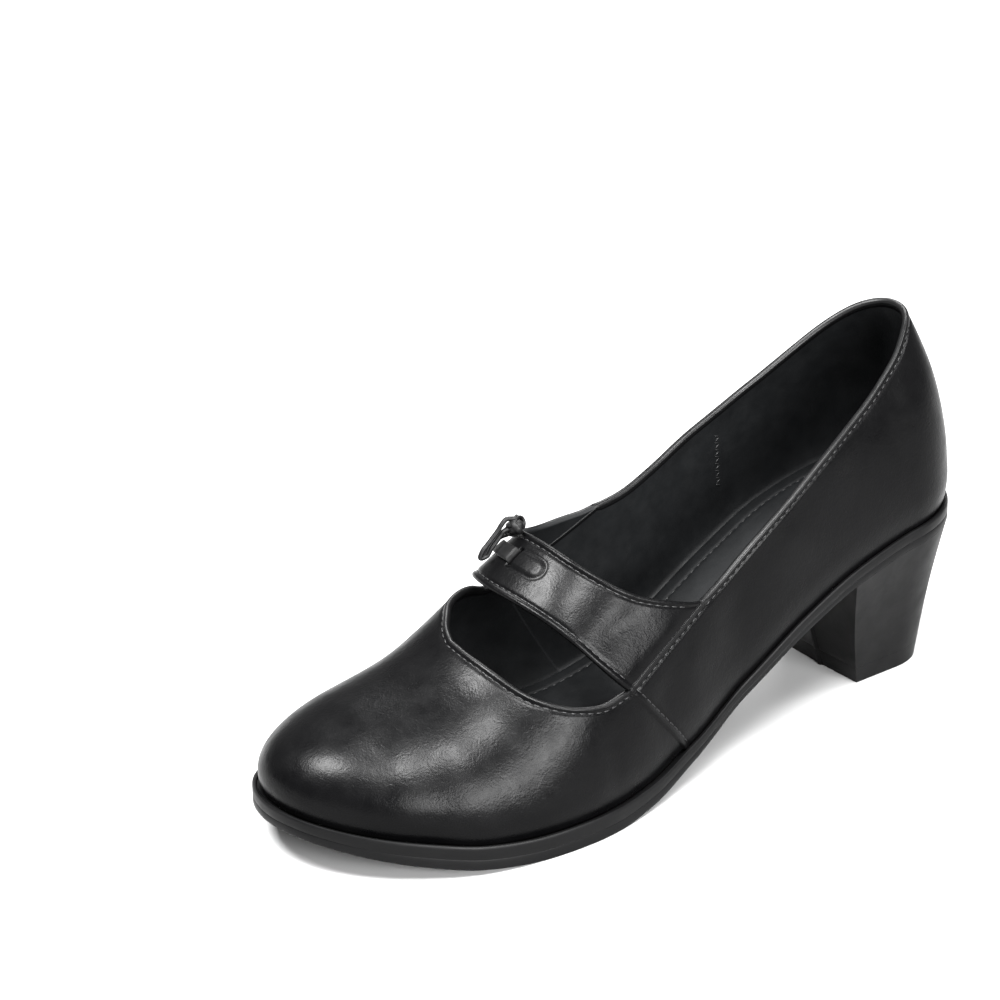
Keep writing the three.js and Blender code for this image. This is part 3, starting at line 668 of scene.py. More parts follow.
RIM_WIDTH = 1.1 * MM  # the folded edge of the leather is smoother, and its lighter colour is a painted highlight along the edge
CALM_FROM, CALM_TO = 3 * MM, 12 * MM  # from the edge, where its soft forms set in


def make_upper():
    quarter = COLUMNS[:, 0]
    relief = soft_relief(placed(BARE)) * smooth(CALM_FROM, CALM_TO, FROM_TOP)
    relief += groove(FROM_TOP, EDGE_TO_STITCH) + fold(FROM_TOP, EDGE_TO_STITCH)
    relief += groove(FROM_SEAM, SEAM_TO_STITCH) + 0.5 * fold(FROM_SEAM, SEAM_TO_STITCH)
    outside = BARE + OUTWARD * (quarter * QUARTER_STEP + relief)[..., None]
    outside[0] = at_height(outside[0], seat_above(CLEARANCE))
    inside = BARE + OUTWARD * (quarter * QUARTER_STEP - WALL)[..., None]
    inside[0] = at_height(inside[0], seat_above(CLEARANCE + WALL))
    centre = (outside[-1] + inside[-1]) / 2
    half = outside[-1] - centre
    rise = unit(UP[-1]) * (np.linalg.norm(half, axis=1) * EDGE_ROUND)[:, None]
    arc = [centre + half * math.cos(a) + rise * math.sin(a) for a in np.linspace(0, math.pi, 10)[1:-1]]
    inner_rows = inside[::-1][np.unique(np.append(np.arange(0, len(inside), 3), len(inside) - 1))]
    margin_top = at_height(inset(FOOT, WALL + LASTING_MARGIN), seat_above(CLEARANCE + WALL))
    margin_foot = at_height(margin_top, seat_above(CLEARANCE))
    rings = np.concatenate([outside, np.array(arc), inner_rows, margin_top[None], margin_foot[None]])
    vertices = placed(rings.reshape(-1, 3))
    faces = facing_out(vertices, ring_faces(len(rings), len(COLUMNS), wrap_stack=True))
    rim_to = len(outside) + len(arc) + 1
    slots = np.zeros((len(rings), len(COLUMNS)), int)  # 0 leather, 1 lining, 2 rim with a painted highlight
    slots[: len(outside)][FROM_TOP < RIM_WIDTH] = 2
    slots[len(outside) : rim_to] = 2
    slots[rim_to + 1 : -1] = 1
    piece = collection_mesh("upper_leather", vertices, faces, slots.reshape(-1))
    return piece, placed(outside), placed(inside)


upper, UPPER_OUTSIDE, UPPER_INSIDE = make_upper()
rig.replaces(upper, "upper")

# Strap
STRAP_ROWS = 60
SEWN_GAP = 0.0035  # share of the strap's half length that shows at each end seam
SLIT_REACH = 8.5 * MM
SLIT_WIDTH = 1.6 * MM
SLIT_LENGTH = 6 * MM
KNOT_ALONG = 0.06
KNOT_ASIDE = 11 * MM
LACE_ALONG = 0.42
LACE_WIDTH = 5 * MM
LACE_THICKNESS = 1.2 * MM
KNOT_LENGTH = 6.4 * MM
KNOT_WIDTH = 7.2 * MM
KNOT_HEIGHT = 5.2 * MM
CORD_WIDTH = 1.6 * MM
CORD_THICKNESS = 1.3 * MM
RIDGE_LENGTH = float(np.linalg.norm(strap_place(0.0, 0.0) - strap_place(0.0, 1.0)))
NEAR_RIDGE = 0.1
ACROSS_PER_METRE = NEAR_RIDGE / float(
    np.linalg.norm(strap_place(0.0, LACE_ALONG) - strap_place(NEAR_RIDGE, LACE_ALONG))
)
# The lace's end lies under the leather here, and shows as a raised tongue
TONGUE_FROM = -1.2 * MM  # from the ridge over the leather, towards the outer side
TONGUE_TO = 10.6 * MM
TONGUE_WIDTH = 6.6 * MM
TONGUE_HEIGHT = 0.3 * MM
TONGUE_OUTLINE = 0.16 * MM  # how far the leather sinks round it
SLIT_DEPTH = 1.4 * MM
FINE_FROM, FINE_TO = -23 * MM, 14 * MM  # where the strap's mesh is finest, from its ridge


def strap_frame(across, along):
    d = 0.01
    forward = unit(strap_place(across, along + d) - strap_place(across, along - d))
    outward = unit(strap_place(across + d, along) - strap_place(across - d, along))
    return strap_place(across, along), forward, outward, unit(np.cross(forward, outward))


def strap_point(across, along, lift):
    point, _, _, up = strap_frame(across, along)
    return point + up * np.asarray(QUARTER_STEP + lift)[..., None]


def over_strap(forward, out, lift):
    """A place over the strap, in metres: forward of the knot, out from the ridge, above the leather."""
    return strap_point(out * ACROSS_PER_METRE, KNOT_ALONG + forward / RIDGE_LENGTH, lift)


STRAP_FORMS = [
    # across, along, reach in each, depth in millimetres
    (0.72, 0.5, 0.08, 0.6, -0.7),
    (0.94, 0.5, 0.08, 0.6, 0.75),
    (0.4, 0.7, 0.12, 0.3, 0.3),
    (-0.6, 0.5, 0.12, 0.5, -0.45),
    (-0.85, 0.5, 0.08, 0.5, 0.4),
]


def make_strap():
    reach = 1 - SEWN_GAP
    fine = np.array([FINE_FROM, FINE_TO]) * ACROSS_PER_METRE / reach
    spread = [np.linspace(-1, fine[0], 56), np.linspace(*fine, 111)[1:], np.linspace(fine[1], 1, 76)[1:]]
    across = reach * np.concatenate(spread)
    rows = np.sin(np.linspace(-math.pi / 2, math.pi / 2, STRAP_ROWS + 1)) / 2 + 0.5
    rows = mix(np.linspace(0, 1, STRAP_ROWS + 1), rows, 0.6)
    A, R = np.meshgrid(across, rows, indexing="ij")
    base = strap_place(A, R)
    width = np.linalg.norm(np.diff(base, axis=1), axis=-1)
    place = np.concatenate([np.zeros((len(across), 1)), np.cumsum(width, 1)], 1)
    from_back, from_front = place, place[:, -1:] - place
    edge = np.minimum(from_back, from_front)
    relief = groove(edge, EDGE_TO_STITCH) + fold(edge, EDGE_TO_STITCH)
    for across_at, along_at, across_reach, along_reach, depth in STRAP_FORMS:
        gap = ((A - across_at) / across_reach) ** 2 + ((R - along_at) / along_reach) ** 2
        relief += depth * MM * np.exp(-gap)
    out = A / ACROSS_PER_METRE
    aside = (R - LACE_ALONG) * RIDGE_LENGTH
    beyond = np.maximum(0, np.maximum(TONGUE_FROM - out, out - (TONGUE_TO - TONGUE_WIDTH / 2)))
    from_tongue = np.hypot(beyond, aside)
    relief += TONGUE_HEIGHT * (1 - smooth(0.5 * TONGUE_WIDTH / 2, TONGUE_WIDTH / 2, from_tongue))
    relief -= TONGUE_OUTLINE * bump(from_tongue, 0.54 * TONGUE_WIDTH, 0.4 * MM) * (out > TONGUE_FROM)
    for side in (1, -1):
        across_slit = np.abs(out - (side * SLIT_REACH - KNOT_ASIDE))
        in_slit = 1 - smooth(0.5 * SLIT_WIDTH, 0.8 * SLIT_WIDTH, across_slit)
        relief -= SLIT_DEPTH * in_slit * (1 - smooth(0.45 * SLIT_LENGTH, 0.6 * SLIT_LENGTH, np.abs(aside)))
    tuck = edge_drop(edge, WALL / 2)
    outside = strap_point(A, R, relief - tuck)
    inside = strap_point(A, R, -WALL + tuck)
    return outside, inside, from_back, from_front


def strap_mesh():
    outside, inside, *fields = make_strap()
    rings = np.concatenate([outside, inside[:, ::-1][:, 1:-1]], 1)
    vertices = placed(rings.reshape(-1, 3))
    count = rings.shape[1]
    faces = ring_faces(len(rings), count)
    slots = np.tile(np.where(np.arange(count) < STRAP_ROWS, 0, 1), len(rings) - 1)
    ends = [cap_faces(0, count), cap_faces((len(rings) - 1) * count, count)]
    ends[0] = ends[0][:, ::-1]
    faces = np.concatenate([faces, *ends])
    slots = np.concatenate([slots, np.zeros(len(ends[0]) + len(ends[1]), dtype=int)])
    faces = facing_out(vertices, faces)
    return collection_mesh("strap_leather", vertices, faces, slots), placed(outside), *fields


strap, STRAP_OUTSIDE, STRAP_FROM_BACK, STRAP_FROM_FRONT = strap_mesh()
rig.replaces(strap, "strap")

# Insole: a padded sock on the turned-in leather
INSOLE_EDGE = inset(FOOT, WALL + 2 * CLEARANCE)
INSOLE_REST = 2 * CLEARANCE + WALL
INSOLE_STITCH = 5.5 * MM  # from its edge
INSOLE_ACROSS = 40
INSOLE_ROUND = 1.8 * MM
INSOLE_SWELL = 0.35 * MM  # the padding stands this much higher away from the edge
INSOLE_SWELL_REACH = 9 * MM


def across_grid(loop, columns):
    """Points inside a closed loop that starts at the toe, in rows from its outer side to its inner one."""
    outer, inner = both_sides(loop)
    share = (1 - np.cos(np.linspace(0, math.pi, columns + 1))) / 2
    return mix(outer[:, None], inner[:, None], share[None, :, None])


INSOLE_RINGS = [0, 0.15, 0.4, 0.8, 1.3, 2, 3, 4, 4.7, 5, 5.25, 5.5, 5.75, 6, 6.3, 7, 8.5]  # mm from its edge


def make_insole():
    def height(gap):
        rise = INSOLE_REST + INSOLE_THICKNESS - edge_drop(gap, INSOLE_ROUND)
        swell = INSOLE_SWELL * (smooth(0, INSOLE_SWELL_REACH, gap) - 1)
        return rise + swell + 1.4 * groove(gap, INSOLE_STITCH)

    edge = INSOLE_EDGE[::2]
    rings = [at_height(edge, seat_above(INSOLE_REST))]
    rings += [at_height(inset(edge, gap * MM), seat_above(height(gap * MM))) for gap in INSOLE_RINGS]
    rings = np.array(rings)
    sheet = across_grid(rings[-1], INSOLE_ACROSS)
    sheet[..., 2] = seat(sheet[..., 0]) + height(INSOLE_RINGS[-1] * MM)
    hollow = soft_relief(placed(sheet)) * 0.4
    hollow[0], hollow[-1], hollow[:, 0], hollow[:, -1] = 0, 0, 0, 0
    sheet[..., 2] += hollow
    core = inset(edge, LASTING_MARGIN)
    low = [at_height(core, seat_above(CLEARANCE)), at_height(core, seat_above(INSOLE_REST))]
    rings = np.concatenate([low, rings])
    count = len(edge)
    rows, columns = sheet.shape[:2]
    vertices = np.concatenate([rings.reshape(-1, 3), sheet.reshape(-1, 3)])
    top = ring_faces(rows, columns, wrap_ring=False) + rings.shape[0] * count
    faces = np.concatenate([ring_faces(len(rings), count), cap_faces(0, count), top])
    piece = collection_mesh("insole_sock", placed(vertices), faces)
    clean_up(piece)
    line = at_height(inset(edge, INSOLE_STITCH), seat_above(height(INSOLE_STITCH)))
    return piece, placed(line)


insole, INSOLE_LINE = make_insole()
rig.replaces(insole, "insole")
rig.padded(insole, 0.4)


# Outsole: a moulded sole with a rounded lower edge, a fine parting line and a raised lip
def make_outsole():
    def ring(distance, height):
        return at_height(inset(OUTLINE, distance) if distance else OUTLINE, height)

    def side_at(share, distance=0.0):
        x = OUTLINE[:, 0]
        return ring(distance, mix(underside(x) + SOLE_CORNER, seat(x), share))

    rings = [
        ring(SOLE_CORNER + 2.5 * MM, underside),
        ring(SOLE_CORNER, underside),
        ring(0.3 * SOLE_CORNER, lambda x: underside(x) + 0.3 * SOLE_CORNER),
        ring(0, lambda x: underside(x) + SOLE_CORNER),
        side_at(0.2),
        side_at(0.44),
        side_at(0.485, 0.12 * MM),
        side_at(0.53),
        side_at(0.8),
        ring(0, seat),
        ring(0.05 * MM, seat_above(0.6 * LIP_HEIGHT)),
        ring(0.25 * LIP_WIDTH, seat_above(0.95 * LIP_HEIGHT)),
        ring(0.5 * LIP_WIDTH, seat_above(LIP_HEIGHT)),
        ring(0.85 * LIP_WIDTH, seat_above(0.9 * LIP_HEIGHT)),
        ring(LIP_WIDTH, seat_above(0.6 * LIP_HEIGHT)),
        ring(LIP_WIDTH, seat),
    ]
    piece = capped("sole_unit", placed(rings))
    clean_up(piece)
    piece.data.set_sharp_from_angle(angle=math.radians(40))
    return piece


outsole = make_outsole()
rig.replaces(outsole, "outsole")

# Heel
HEEL_TOP_LENGTH = 52 * MM
HEEL_FOOT_LENGTH = 32 * MM
HEEL_FOOT_SETBACK = 9 * MM
HEEL_FOOT_WIDTH = 33 * MM
HEEL_FOOT_SHIFT = 1 * MM
HEEL_FOOT_SQUARENESS = 2.4
HEEL_INSET = 0.15 * MM
HEEL_WAIST = 0.9 * MM
TOP_LIFT_HEIGHT = 6 * MM
HEEL_BEVEL = 0.1 * MM
HEEL_GAP = 0.03 * MM  # what shows between the heel's pieces
BREAST_CROWN = 0.3 * MM
BREAST_RIB = 0.8 * MM
BREAST_RIB_WIDTH = 2.4 * MM
HEEL_COLUMNS = 60
HEEL_ROWS = 24


def outline_y(x, side):
    line = both_sides(OUTLINE)[0 if side > 0 else 1]
    order = np.argsort(line[:, 0])
    return np.interp(x, line[order, 0], line[order, 1])


def heel_columns():
    """x and y at the top, x and y at the foot, and the side that its waist hollows, for each column."""
    back = OUTLINE[len(OUTLINE) // 2]
    top_back, foot_back = back[0] + HEEL_INSET, back[0] + HEEL_FOOT_SETBACK
    half = HEEL_FOOT_WIDTH / 2

    def shape(side):
        along = 1 - np.cos(math.pi / 2 * np.arange(1, HEEL_COLUMNS + 1) / HEEL_COLUMNS)
        top_x = top_back + (HEEL_TOP_LENGTH - HEEL_INSET) * along
        foot_x = foot_back + HEEL_FOOT_LENGTH * along
        round_off = np.minimum(1, (foot_x - foot_back) / half)
        bulge = (1 - (1 - round_off) ** HEEL_FOOT_SQUARENESS) ** (1 / HEEL_FOOT_SQUARENESS)
        top_y = outline_y(top_x, side) - side * HEEL_INSET
        sides = np.full_like(along, side)
        return np.stack([top_x, top_y, foot_x, HEEL_FOOT_SHIFT + side * half * bulge, sides], 1)

    outer, inner = shape(1), shape(-1)
    corner_top, corner_foot = outer[-1, 0], outer[-1, 2]
    middle = (outline_y(corner_top, 1) + outline_y(corner_top, -1)) / 2
    rib = BREAST_RIB_WIDTH / 2
    breast = []
    for at, crest in ((rib, 0), (0.35 * rib, BREAST_RIB), (-0.35 * rib, BREAST_RIB), (-rib, 0)):
        forward = BREAST_CROWN + crest
        breast.append((corner_top + forward, middle + at, corner_foot + forward, HEEL_FOOT_SHIFT + at, 0))
    first = [(top_back, back[1], foot_back, HEEL_FOOT_SHIFT, 0)]
    return np.concatenate([first, outer, breast, inner[::-1]])


HEEL = heel_columns()


def heel_ring(height):
    """The heel's section. height gives z from the height of the sole above each point."""
    top_x, top_y, foot_x, foot_y, side = HEEL.T
    top_z = underside(top_x)
    z = height(top_z)
    t = z / top_z
    y = mix(foot_y, top_y, t) - side * HEEL_WAIST * np.sin(math.pi * t)
    return np.stack([mix(foot_x, top_x, t), y, z], 1)


def heel_piece(name, rings):
    piece = capped(name, placed(rings))
    clean_up(piece)
    bevel = piece.modifiers.new("edge", "BEVEL")
    bevel.width = HEEL_BEVEL
    bevel.segments = 2
    bevel.limit_method = "ANGLE"
    bevel.angle_limit = math.radians(38)
    piece.data.set_sharp_from_angle(angle=math.radians(50))
    return piece


def block_height(t):
    return lambda top: mix(TOP_LIFT_HEIGHT + HEEL_GAP, top - HEEL_GAP, t)


def tip_height(t):
    return lambda top: np.full_like(top, t * TOP_LIFT_HEIGHT)


heel_block = heel_piece("heel_body", [heel_ring(block_height(t)) for t in np.linspace(0, 1, HEEL_ROWS + 1)])
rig.replaces(heel_block, "heel_block")
top_lift = heel_piece("heel_tip", [heel_ring(tip_height(t)) for t in (0, 0.5, 1)])
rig.replaces(top_lift, "top_lift")

# Lace. Routes are in millimetres over the strap: forward of the knot, out from the ridge, above the leather
LOOP_FRONT = [
    (0.6, -11.7, 6.5), (2.6, -11.9, 6.35), (4.8, -12.2, 5.75), (7.4, -12.4, 5.3), (9.9, -12.6, 4.95),
    (12.4, -12.8, 4.6), (14.1, -13, 3.6), (12.3, -13, 2.55), (9.7, -12.6, 3.3), (7.2, -12.4, 3.7),
    (4.9, -12.2, 4.15), (3.7, -12, 4.4),
]
LOOP_INNER = [
    (0.6, -15.9, 3.4), (0.9, -18, 3.5), (1, -21, 3.4), (0.4, -23, 3.3), (-0.8, -23.8, 3.3),
    (-2, -23, 3.3), (-2.5, -21, 3.4), (-2.4, -18, 3.5), (-2.1, -15.7, 3.4),
]
END_FRONT = [(3.1, -14.4, 2.3), (5.2, -15.8, 2.9), (9.6, -17.2, 2.9), (13, -18.2, 1.5)]
END_BACK = [(-0.8, -15.2, 1.35), (-0.9, -19, 1.25), (-0.8, -23, 1.25), (-0.4, -27.5, 1.25)]
# Inside the knot, from a loop's end to the end of the lace
TURN_FRONT = [(1.6, -11.9, 3.7), (-0.4, -12.9, 2.3)]
TURN_INNER = [(-1.4, -13.2, 3.1), (0.4, -12.2, 2.9), (1.9, -13.1, 2.6)]
START_FRONT = [(-1.7, -11.2, 4.7)]
START_INNER = [(0.4, -13.4, 3.2)]


def rounded_path(points, steps=14):
    """A centripetal curve through points, with steps to each stretch."""
    points = np.asarray(points, float)
    ends = [2 * points[0] - points[1]], [2 * points[-1] - points[-2]]
    points = np.concatenate([ends[0], points, ends[1]])
    out = []
    for p0, p1, p2, p3 in zip(points, points[1:], points[2:], points[3:]):
        t0 = 0.0
        t1 = t0 + math.sqrt(np.linalg.norm(p1 - p0))
        t2 = t1 + math.sqrt(np.linalg.norm(p2 - p1))
        t3 = t2 + math.sqrt(np.linalg.norm(p3 - p2))
        for t in np.linspace(t1, t2, steps, endpoint=False):
            a1 = mix(p0, p1, (t - t0) / (t1 - t0))
            a2 = mix(p1, p2, (t - t1) / (t2 - t1))
            a3 = mix(p2, p3, (t - t2) / (t3 - t2))
            b1 = mix(a1, a2, (t - t0) / (t2 - t0))
            b2 = mix(a2, a3, (t - t1) / (t3 - t1))
            out.append(mix(b1, b2, (t - t1) / (t2 - t1)))
    out.append(points[-2])
    return np.array(out)


def over_route(route):
    forward, out, lift = np.array(route).T * MM
    return placed(over_strap(forward, out, lift))


def carried_frames(path, first_right):
    """A frame at each point of a path that turns with it and doesn't twist."""
    tangents = unit(np.gradient(path, axis=0))
    right = np.array(first_right, float)
    rights = []
    for tangent in tangents:
        right = unit(right - tangent * (right @ tangent))
        rights.append(right)
    rights = np.array(rights)
    return tangents, rights, np.cross(rights, tangents)


def band_section(width, thickness, sides=16, squareness=2.6):
    angles = np.linspace(0, 2 * math.pi, sides, endpoint=False)
    c, s = np.cos(angles), np.sin(angles)
    return np.stack(
        [
            np.sign(c) * np.abs(c) ** (2 / squareness) * width / 2,
            np.sign(s) * np.abs(s) ** (2 / squareness) * thickness / 2,
        ],
        1,
    )


def swept_rings(path, rights, aboves, section):
    """A section, points by right and above, at each point of a path."""
    return path[:, None] + section[None, :, :1] * rights[:, None] + section[None, :, 1:] * aboves[:, None]


KNOT_OUT = -KNOT_ASIDE * ACROSS_PER_METRE
KNOT_FORWARD, KNOT_OUTWARD, KNOT_UP = strap_frame(KNOT_OUT, KNOT_ALONG)[1:]
KNOT_CENTRE = placed(strap_point(KNOT_OUT, KNOT_ALONG, CLEARANCE + KNOT_HEIGHT / 2))


def lace_cord(name, routes):
    points = np.concatenate([over_route(route) for route in routes])
    path = rounded_path(points)
    first = np.cross(path[1] - path[0], KNOT_UP)
    _, rights, aboves = carried_frames(path, first)
    piece = capped(name, swept_rings(path, rights, aboves, band_section(CORD_WIDTH, CORD_THICKNESS)))
    clean_up(piece)
    return piece, path


lace_front, FRONT_PATH = lace_cord("lace_front", [START_FRONT, LOOP_FRONT, TURN_FRONT, END_BACK])
lace_inner, INNER_PATH = lace_cord("lace_inner", [START_INNER, LOOP_INNER, TURN_INNER, END_FRONT])


KNOT_TIGHTNESS = 0.8  # share of the knot's room that its strands fill
STRAND_THICKNESS = 1 * MM
BAR_DIVE = 0.9 * MM  # how far below the leather the lace's ends go in the slits


def make_knot():
    """A core with a strand drawn round it and two that cross under that."""
    rows, count = 22, 36
    length, breadth, height = (KNOT_TIGHTNESS * size for size in (KNOT_LENGTH, KNOT_WIDTH, KNOT_HEIGHT))
    angles = np.linspace(-math.pi / 2 + 0.05, math.pi / 2 - 0.05, rows)
    turns = np.linspace(0, 2 * math.pi, count, endpoint=False)
    rings = []
    for angle in angles:
        size = math.cos(angle) ** 0.75
        middle = KNOT_CENTRE + KNOT_FORWARD * math.sin(angle) * 0.46 * length
        across = KNOT_OUTWARD * 0.45 * breadth * size
        up = KNOT_UP * 0.45 * height * size
        rings.append(middle + np.cos(turns)[:, None] * across + np.sin(turns)[:, None] * up)
    strands = [capped("lace_knot_core", rings)]
    wraps = [
        # tilt, forward offset, size in each direction
        (0.25, -0.02, 0.5, 0.5, 2.3),
        (-0.7, 0.24, 0.46, 0.42, 1.9),
        (0.9, -0.26, 0.42, 0.4, 1.9),
    ]
    for number, (tilt, ahead, wide, high_share, width) in enumerate(wraps):
        t = np.linspace(0, 2 * math.pi, 56, endpoint=False)
        lean = KNOT_FORWARD * math.sin(tilt)
        path = (
            KNOT_CENTRE
            + KNOT_FORWARD * ahead * length
            + np.cos(t)[:, None] * (KNOT_OUTWARD * wide * breadth * math.cos(tilt) + lean * 0.4 * breadth)
            + np.sin(t)[:, None] * KNOT_UP * high_share * height
        )
        tangents = unit(np.roll(path, -1, 0) - np.roll(path, 1, 0))
        outward = unit(path - path.mean(0))
        rights = unit(np.cross(tangents, outward))
        section = band_section(width * KNOT_TIGHTNESS * MM, STRAND_THICKNESS)
        band = swept_rings(path, rights, outward, section).reshape(-1, 3)
        faces = facing_out(band, ring_faces(len(path), len(section), wrap_stack=True))
        strands.append(collection_mesh(f"lace_knot_wrap_{number + 1}", band, faces))
    return strands


knot_pieces = make_knot()
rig.replaces(knot_pieces[0], "lace_knot")
for piece, path, nodes, knotted in (
    (lace_front, FRONT_PATH, ("lace_loop_front", "lace_end_back"), knot_pieces),
    (lace_inner, INNER_PATH, ("lace_loop_inner", "lace_end_front"), []),
):
    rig.replaces(piece, *nodes)
    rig.cord(
        piece,
        exit=path[0],
        length=float(along_curve(path)[-1]),
        diameter=CORD_WIDTH,
        far_end="bare",
        stiffness="limp",
        lay="loose",
        path=path.tolist(),
        with_pieces=knotted,
    )


def make_bar():
    reach = SLIT_REACH - 0.35 * SLIT_WIDTH
    steps = np.linspace(-1, 1, 61)
    out = steps * reach - KNOT_ASIDE
    dive = smooth(0.9, 1.0, np.abs(steps)) * (LACE_THICKNESS + BAR_DIVE)
    lift = CLEARANCE + LACE_THICKNESS / 2 - dive
    across = out * ACROSS_PER_METRE
    half = LACE_WIDTH / 2 / RIDGE_LENGTH
    section = band_section(1.0, 1.0, 24, 3.4)
    rings = []
    for a, height in zip(across, lift):
        along = LACE_ALONG + section[:, 0] * 2 * half
        up = height + section[:, 1] * LACE_THICKNESS
        rings.append(strap_point(np.full_like(along, a), along, up))
    piece = capped("lace_crossing", placed(rings))
    clean_up(piece)
    return piece


lace_bar = make_bar()
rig.replaces(lace_bar, "lace_bar")

# Thread
STITCH_PITCH = 2.7 * MM
INSOLE_PITCH = 3 * MM
STITCH_LENGTH = 2.1 * MM
STITCH_WIDTH = 0.5 * MM
STITCH_HEIGHT = 0.34 * MM


def surface_normals(grid):
    return unit(np.cross(np.gradient(grid, axis=0), np.gradient(grid, axis=1)))


def level_line(grid, normals, field, value):
    """For each column of a grid, the place and normal where a field along it meets a value."""
    places, ups = [], []
    for k in range(grid.shape[1]):
        order = np.argsort(field[:, k])
        places.append(between(value, field[order, k], grid[order, k]))
        ups.append(between(value, field[order, k], normals[order, k]))
    return np.array(places), unit(np.array(ups))


def stitch_row(name, line, ups, closed=False, pitch=STITCH_PITCH):
    """A row of stitches along a line on the leather."""
    if closed:
        line, ups = np.concatenate([line, line[:1]]), np.concatenate([ups, ups[:1]])
    place = along_curve(line)
    number = max(2, int(round(place[-1] / pitch)))
    at = (np.arange(number) + 0.5) * place[-1] / number
    centres = resample(line, at)
    normals = unit(between(at, place, ups))
    ahead = unit(resample(line, at + 0.4 * MM) - resample(line, at - 0.4 * MM))
    aside = unit(np.cross(normals, ahead))
    normals = np.cross(ahead, aside)
    sides = 6
    turns = np.linspace(0, 2 * math.pi, sides, endpoint=False)
    stations = [(-0.5, 0.0), (-0.4, 0.62), (0.0, 1.0), (0.4, 0.62), (0.5, 0.0)]
    vertices, faces = [], []
    for centre, forward, across, up in zip(centres, ahead, aside, normals):
        start = len(vertices)
        centre = centre + up * 0.1 * STITCH_HEIGHT
        vertices.append(centre + forward * stations[0][0] * STITCH_LENGTH - up * 0.5 * STITCH_HEIGHT)
        for share, size in stations[1:-1]:
            for turn in turns:
                vertices.append(
                    centre
                    + forward * share * STITCH_LENGTH
                    + across * math.cos(turn) * size * STITCH_WIDTH / 2
                    + up * (math.sin(turn) * size * STITCH_HEIGHT / 2 - (1 - size) * 0.3 * STITCH_HEIGHT)
                )
        vertices.append(centre + forward * stations[-1][0] * STITCH_LENGTH - up * 0.5 * STITCH_HEIGHT)
        last = len(vertices) - 1
        for k in range(sides):
            k2 = (k + 1) % sides
            faces.append((start, start + 1 + k2, start + 1 + k, start))
            for band in range(2):
                low, high = start + 1 + band * sides, start + 1 + (band + 1) * sides
                faces.append((low + k, low + k2, high + k2, high + k))
            faces.append((last, start + 1 + 2 * sides + k, start + 1 + 2 * sides + k2, last))
    piece = collection_mesh(name, np.array(vertices), np.array(faces))
    clean_up(piece, 1e-8)
    return piece


def upper_rows():
    line, ups = level_line(UPPER_OUTSIDE, OUTWARD, FROM_TOP, EDGE_TO_STITCH)
    total = len(COLUMNS)
    corner = FRONT_COLUMNS + 1 + SEAM_COLUMNS
    collar = np.arange(corner, total - corner + 1)
    window = np.concatenate([np.arange(total - FRONT_COLUMNS, total), np.arange(FRONT_COLUMNS + 1)])
    rows = [
        stitch_row("stitch_topline", line[collar], ups[collar]),
        stitch_row("stitch_window", line[window[2:-2]], ups[window[2:-2]]),
    ]
    first = FRONT_COLUMNS + 4
    for name, order in (
        ("stitch_seam_outer", np.arange(first, corner)),
        ("stitch_seam_inner", np.arange(total - first, total - corner, -1)),
    ):
        rows.append(stitch_row(name, line[order], ups[order]))
    for name, order in (
        ("stitch_vamp_outer", np.arange(FRONT_COLUMNS + 1, SIDE_COUNT - 1)),
        ("stitch_vamp_inner", np.arange(total - FRONT_COLUMNS - 1, SIDE_COUNT, -1)),
    ):
        grid = UPPER_OUTSIDE[:, order].transpose(1, 0, 2)
        normal = OUTWARD[:, order].transpose(1, 0, 2)
        field = -FROM_SEAM[:, order].T
        seam, seam_ups = level_line(grid, normal, field, -SEAM_TO_STITCH)
        keep = slice(3, -9)
        rows.append(stitch_row(name, seam[keep], seam_ups[keep]))
    return rows


def strap_rows():
    normals = surface_normals(STRAP_OUTSIDE)
    if normals[..., 2].mean() < 0:
        normals = -normals
    grid, grid_ups = STRAP_OUTSIDE.transpose(1, 0, 2), normals.transpose(1, 0, 2)
    rows = []
    for name, field in (("stitch_strap_back", STRAP_FROM_BACK), ("stitch_strap_front", STRAP_FROM_FRONT)):
        line, ups = level_line(grid, grid_ups, field.T, EDGE_TO_STITCH)
        rows.append(stitch_row(name, line[6:-6], ups[6:-6]))
    return rows


# The zigzag that joins two pieces of the lining, down the inner side
ZIGZAG_STATION = 0.246  # share of the last's length, at the foot of the wall
ZIGZAG_ROWS = slice(16, 41)
ZIGZAG_WIDTH = 2.4 * MM
ZIGZAG_STEP = 1.3 * MM


def lining_seam():
    inner = np.flatnonzero(SIDES < 0)
    column = inner[np.argmin(np.abs(FOOT_STATION[inner] - ZIGZAG_STATION))]
    line = UPPER_INSIDE[ZIGZAG_ROWS, column]
    place = along_curve(line)
    at = np.arange(0, place[-1], ZIGZAG_STEP)
    inward = -OUTWARD[ZIGZAG_ROWS, column]
    ups = unit(between(at, place, inward))
    ahead = unit(line[-1] - line[0])
    aside = unit(np.cross(ups, ahead))
    turns = (np.arange(len(at)) % 2 - 0.5)[:, None]
    points = resample(line, at) + aside * turns * ZIGZAG_WIDTH
    pitch = float(np.linalg.norm(np.diff(points, axis=0), axis=1).mean())
    return stitch_row("stitch_lining", points, ups, pitch=pitch)


stitches = upper_rows() + strap_rows() + [lining_seam()]
insole_up = np.tile(np.array([0.0, 0.0, 1.0]), (len(INSOLE_LINE), 1))
stitches.append(stitch_row("stitch_insole", INSOLE_LINE, insole_up, closed=True, pitch=INSOLE_PITCH))


# Materials
def new_material(name, colour, roughness, **sockets):
    material = bpy.data.materials.new(name)
    material.use_nodes = True
    shader = material.node_tree.nodes["Principled BSDF"]
    shader.inputs["Base Color"].default_value = (*colour, 1)
    shader.inputs["Roughness"].default_value = roughness
    for socket, value in sockets.items():
        shader.inputs[socket.replace("_", " ")].default_value = value
    return material, shader


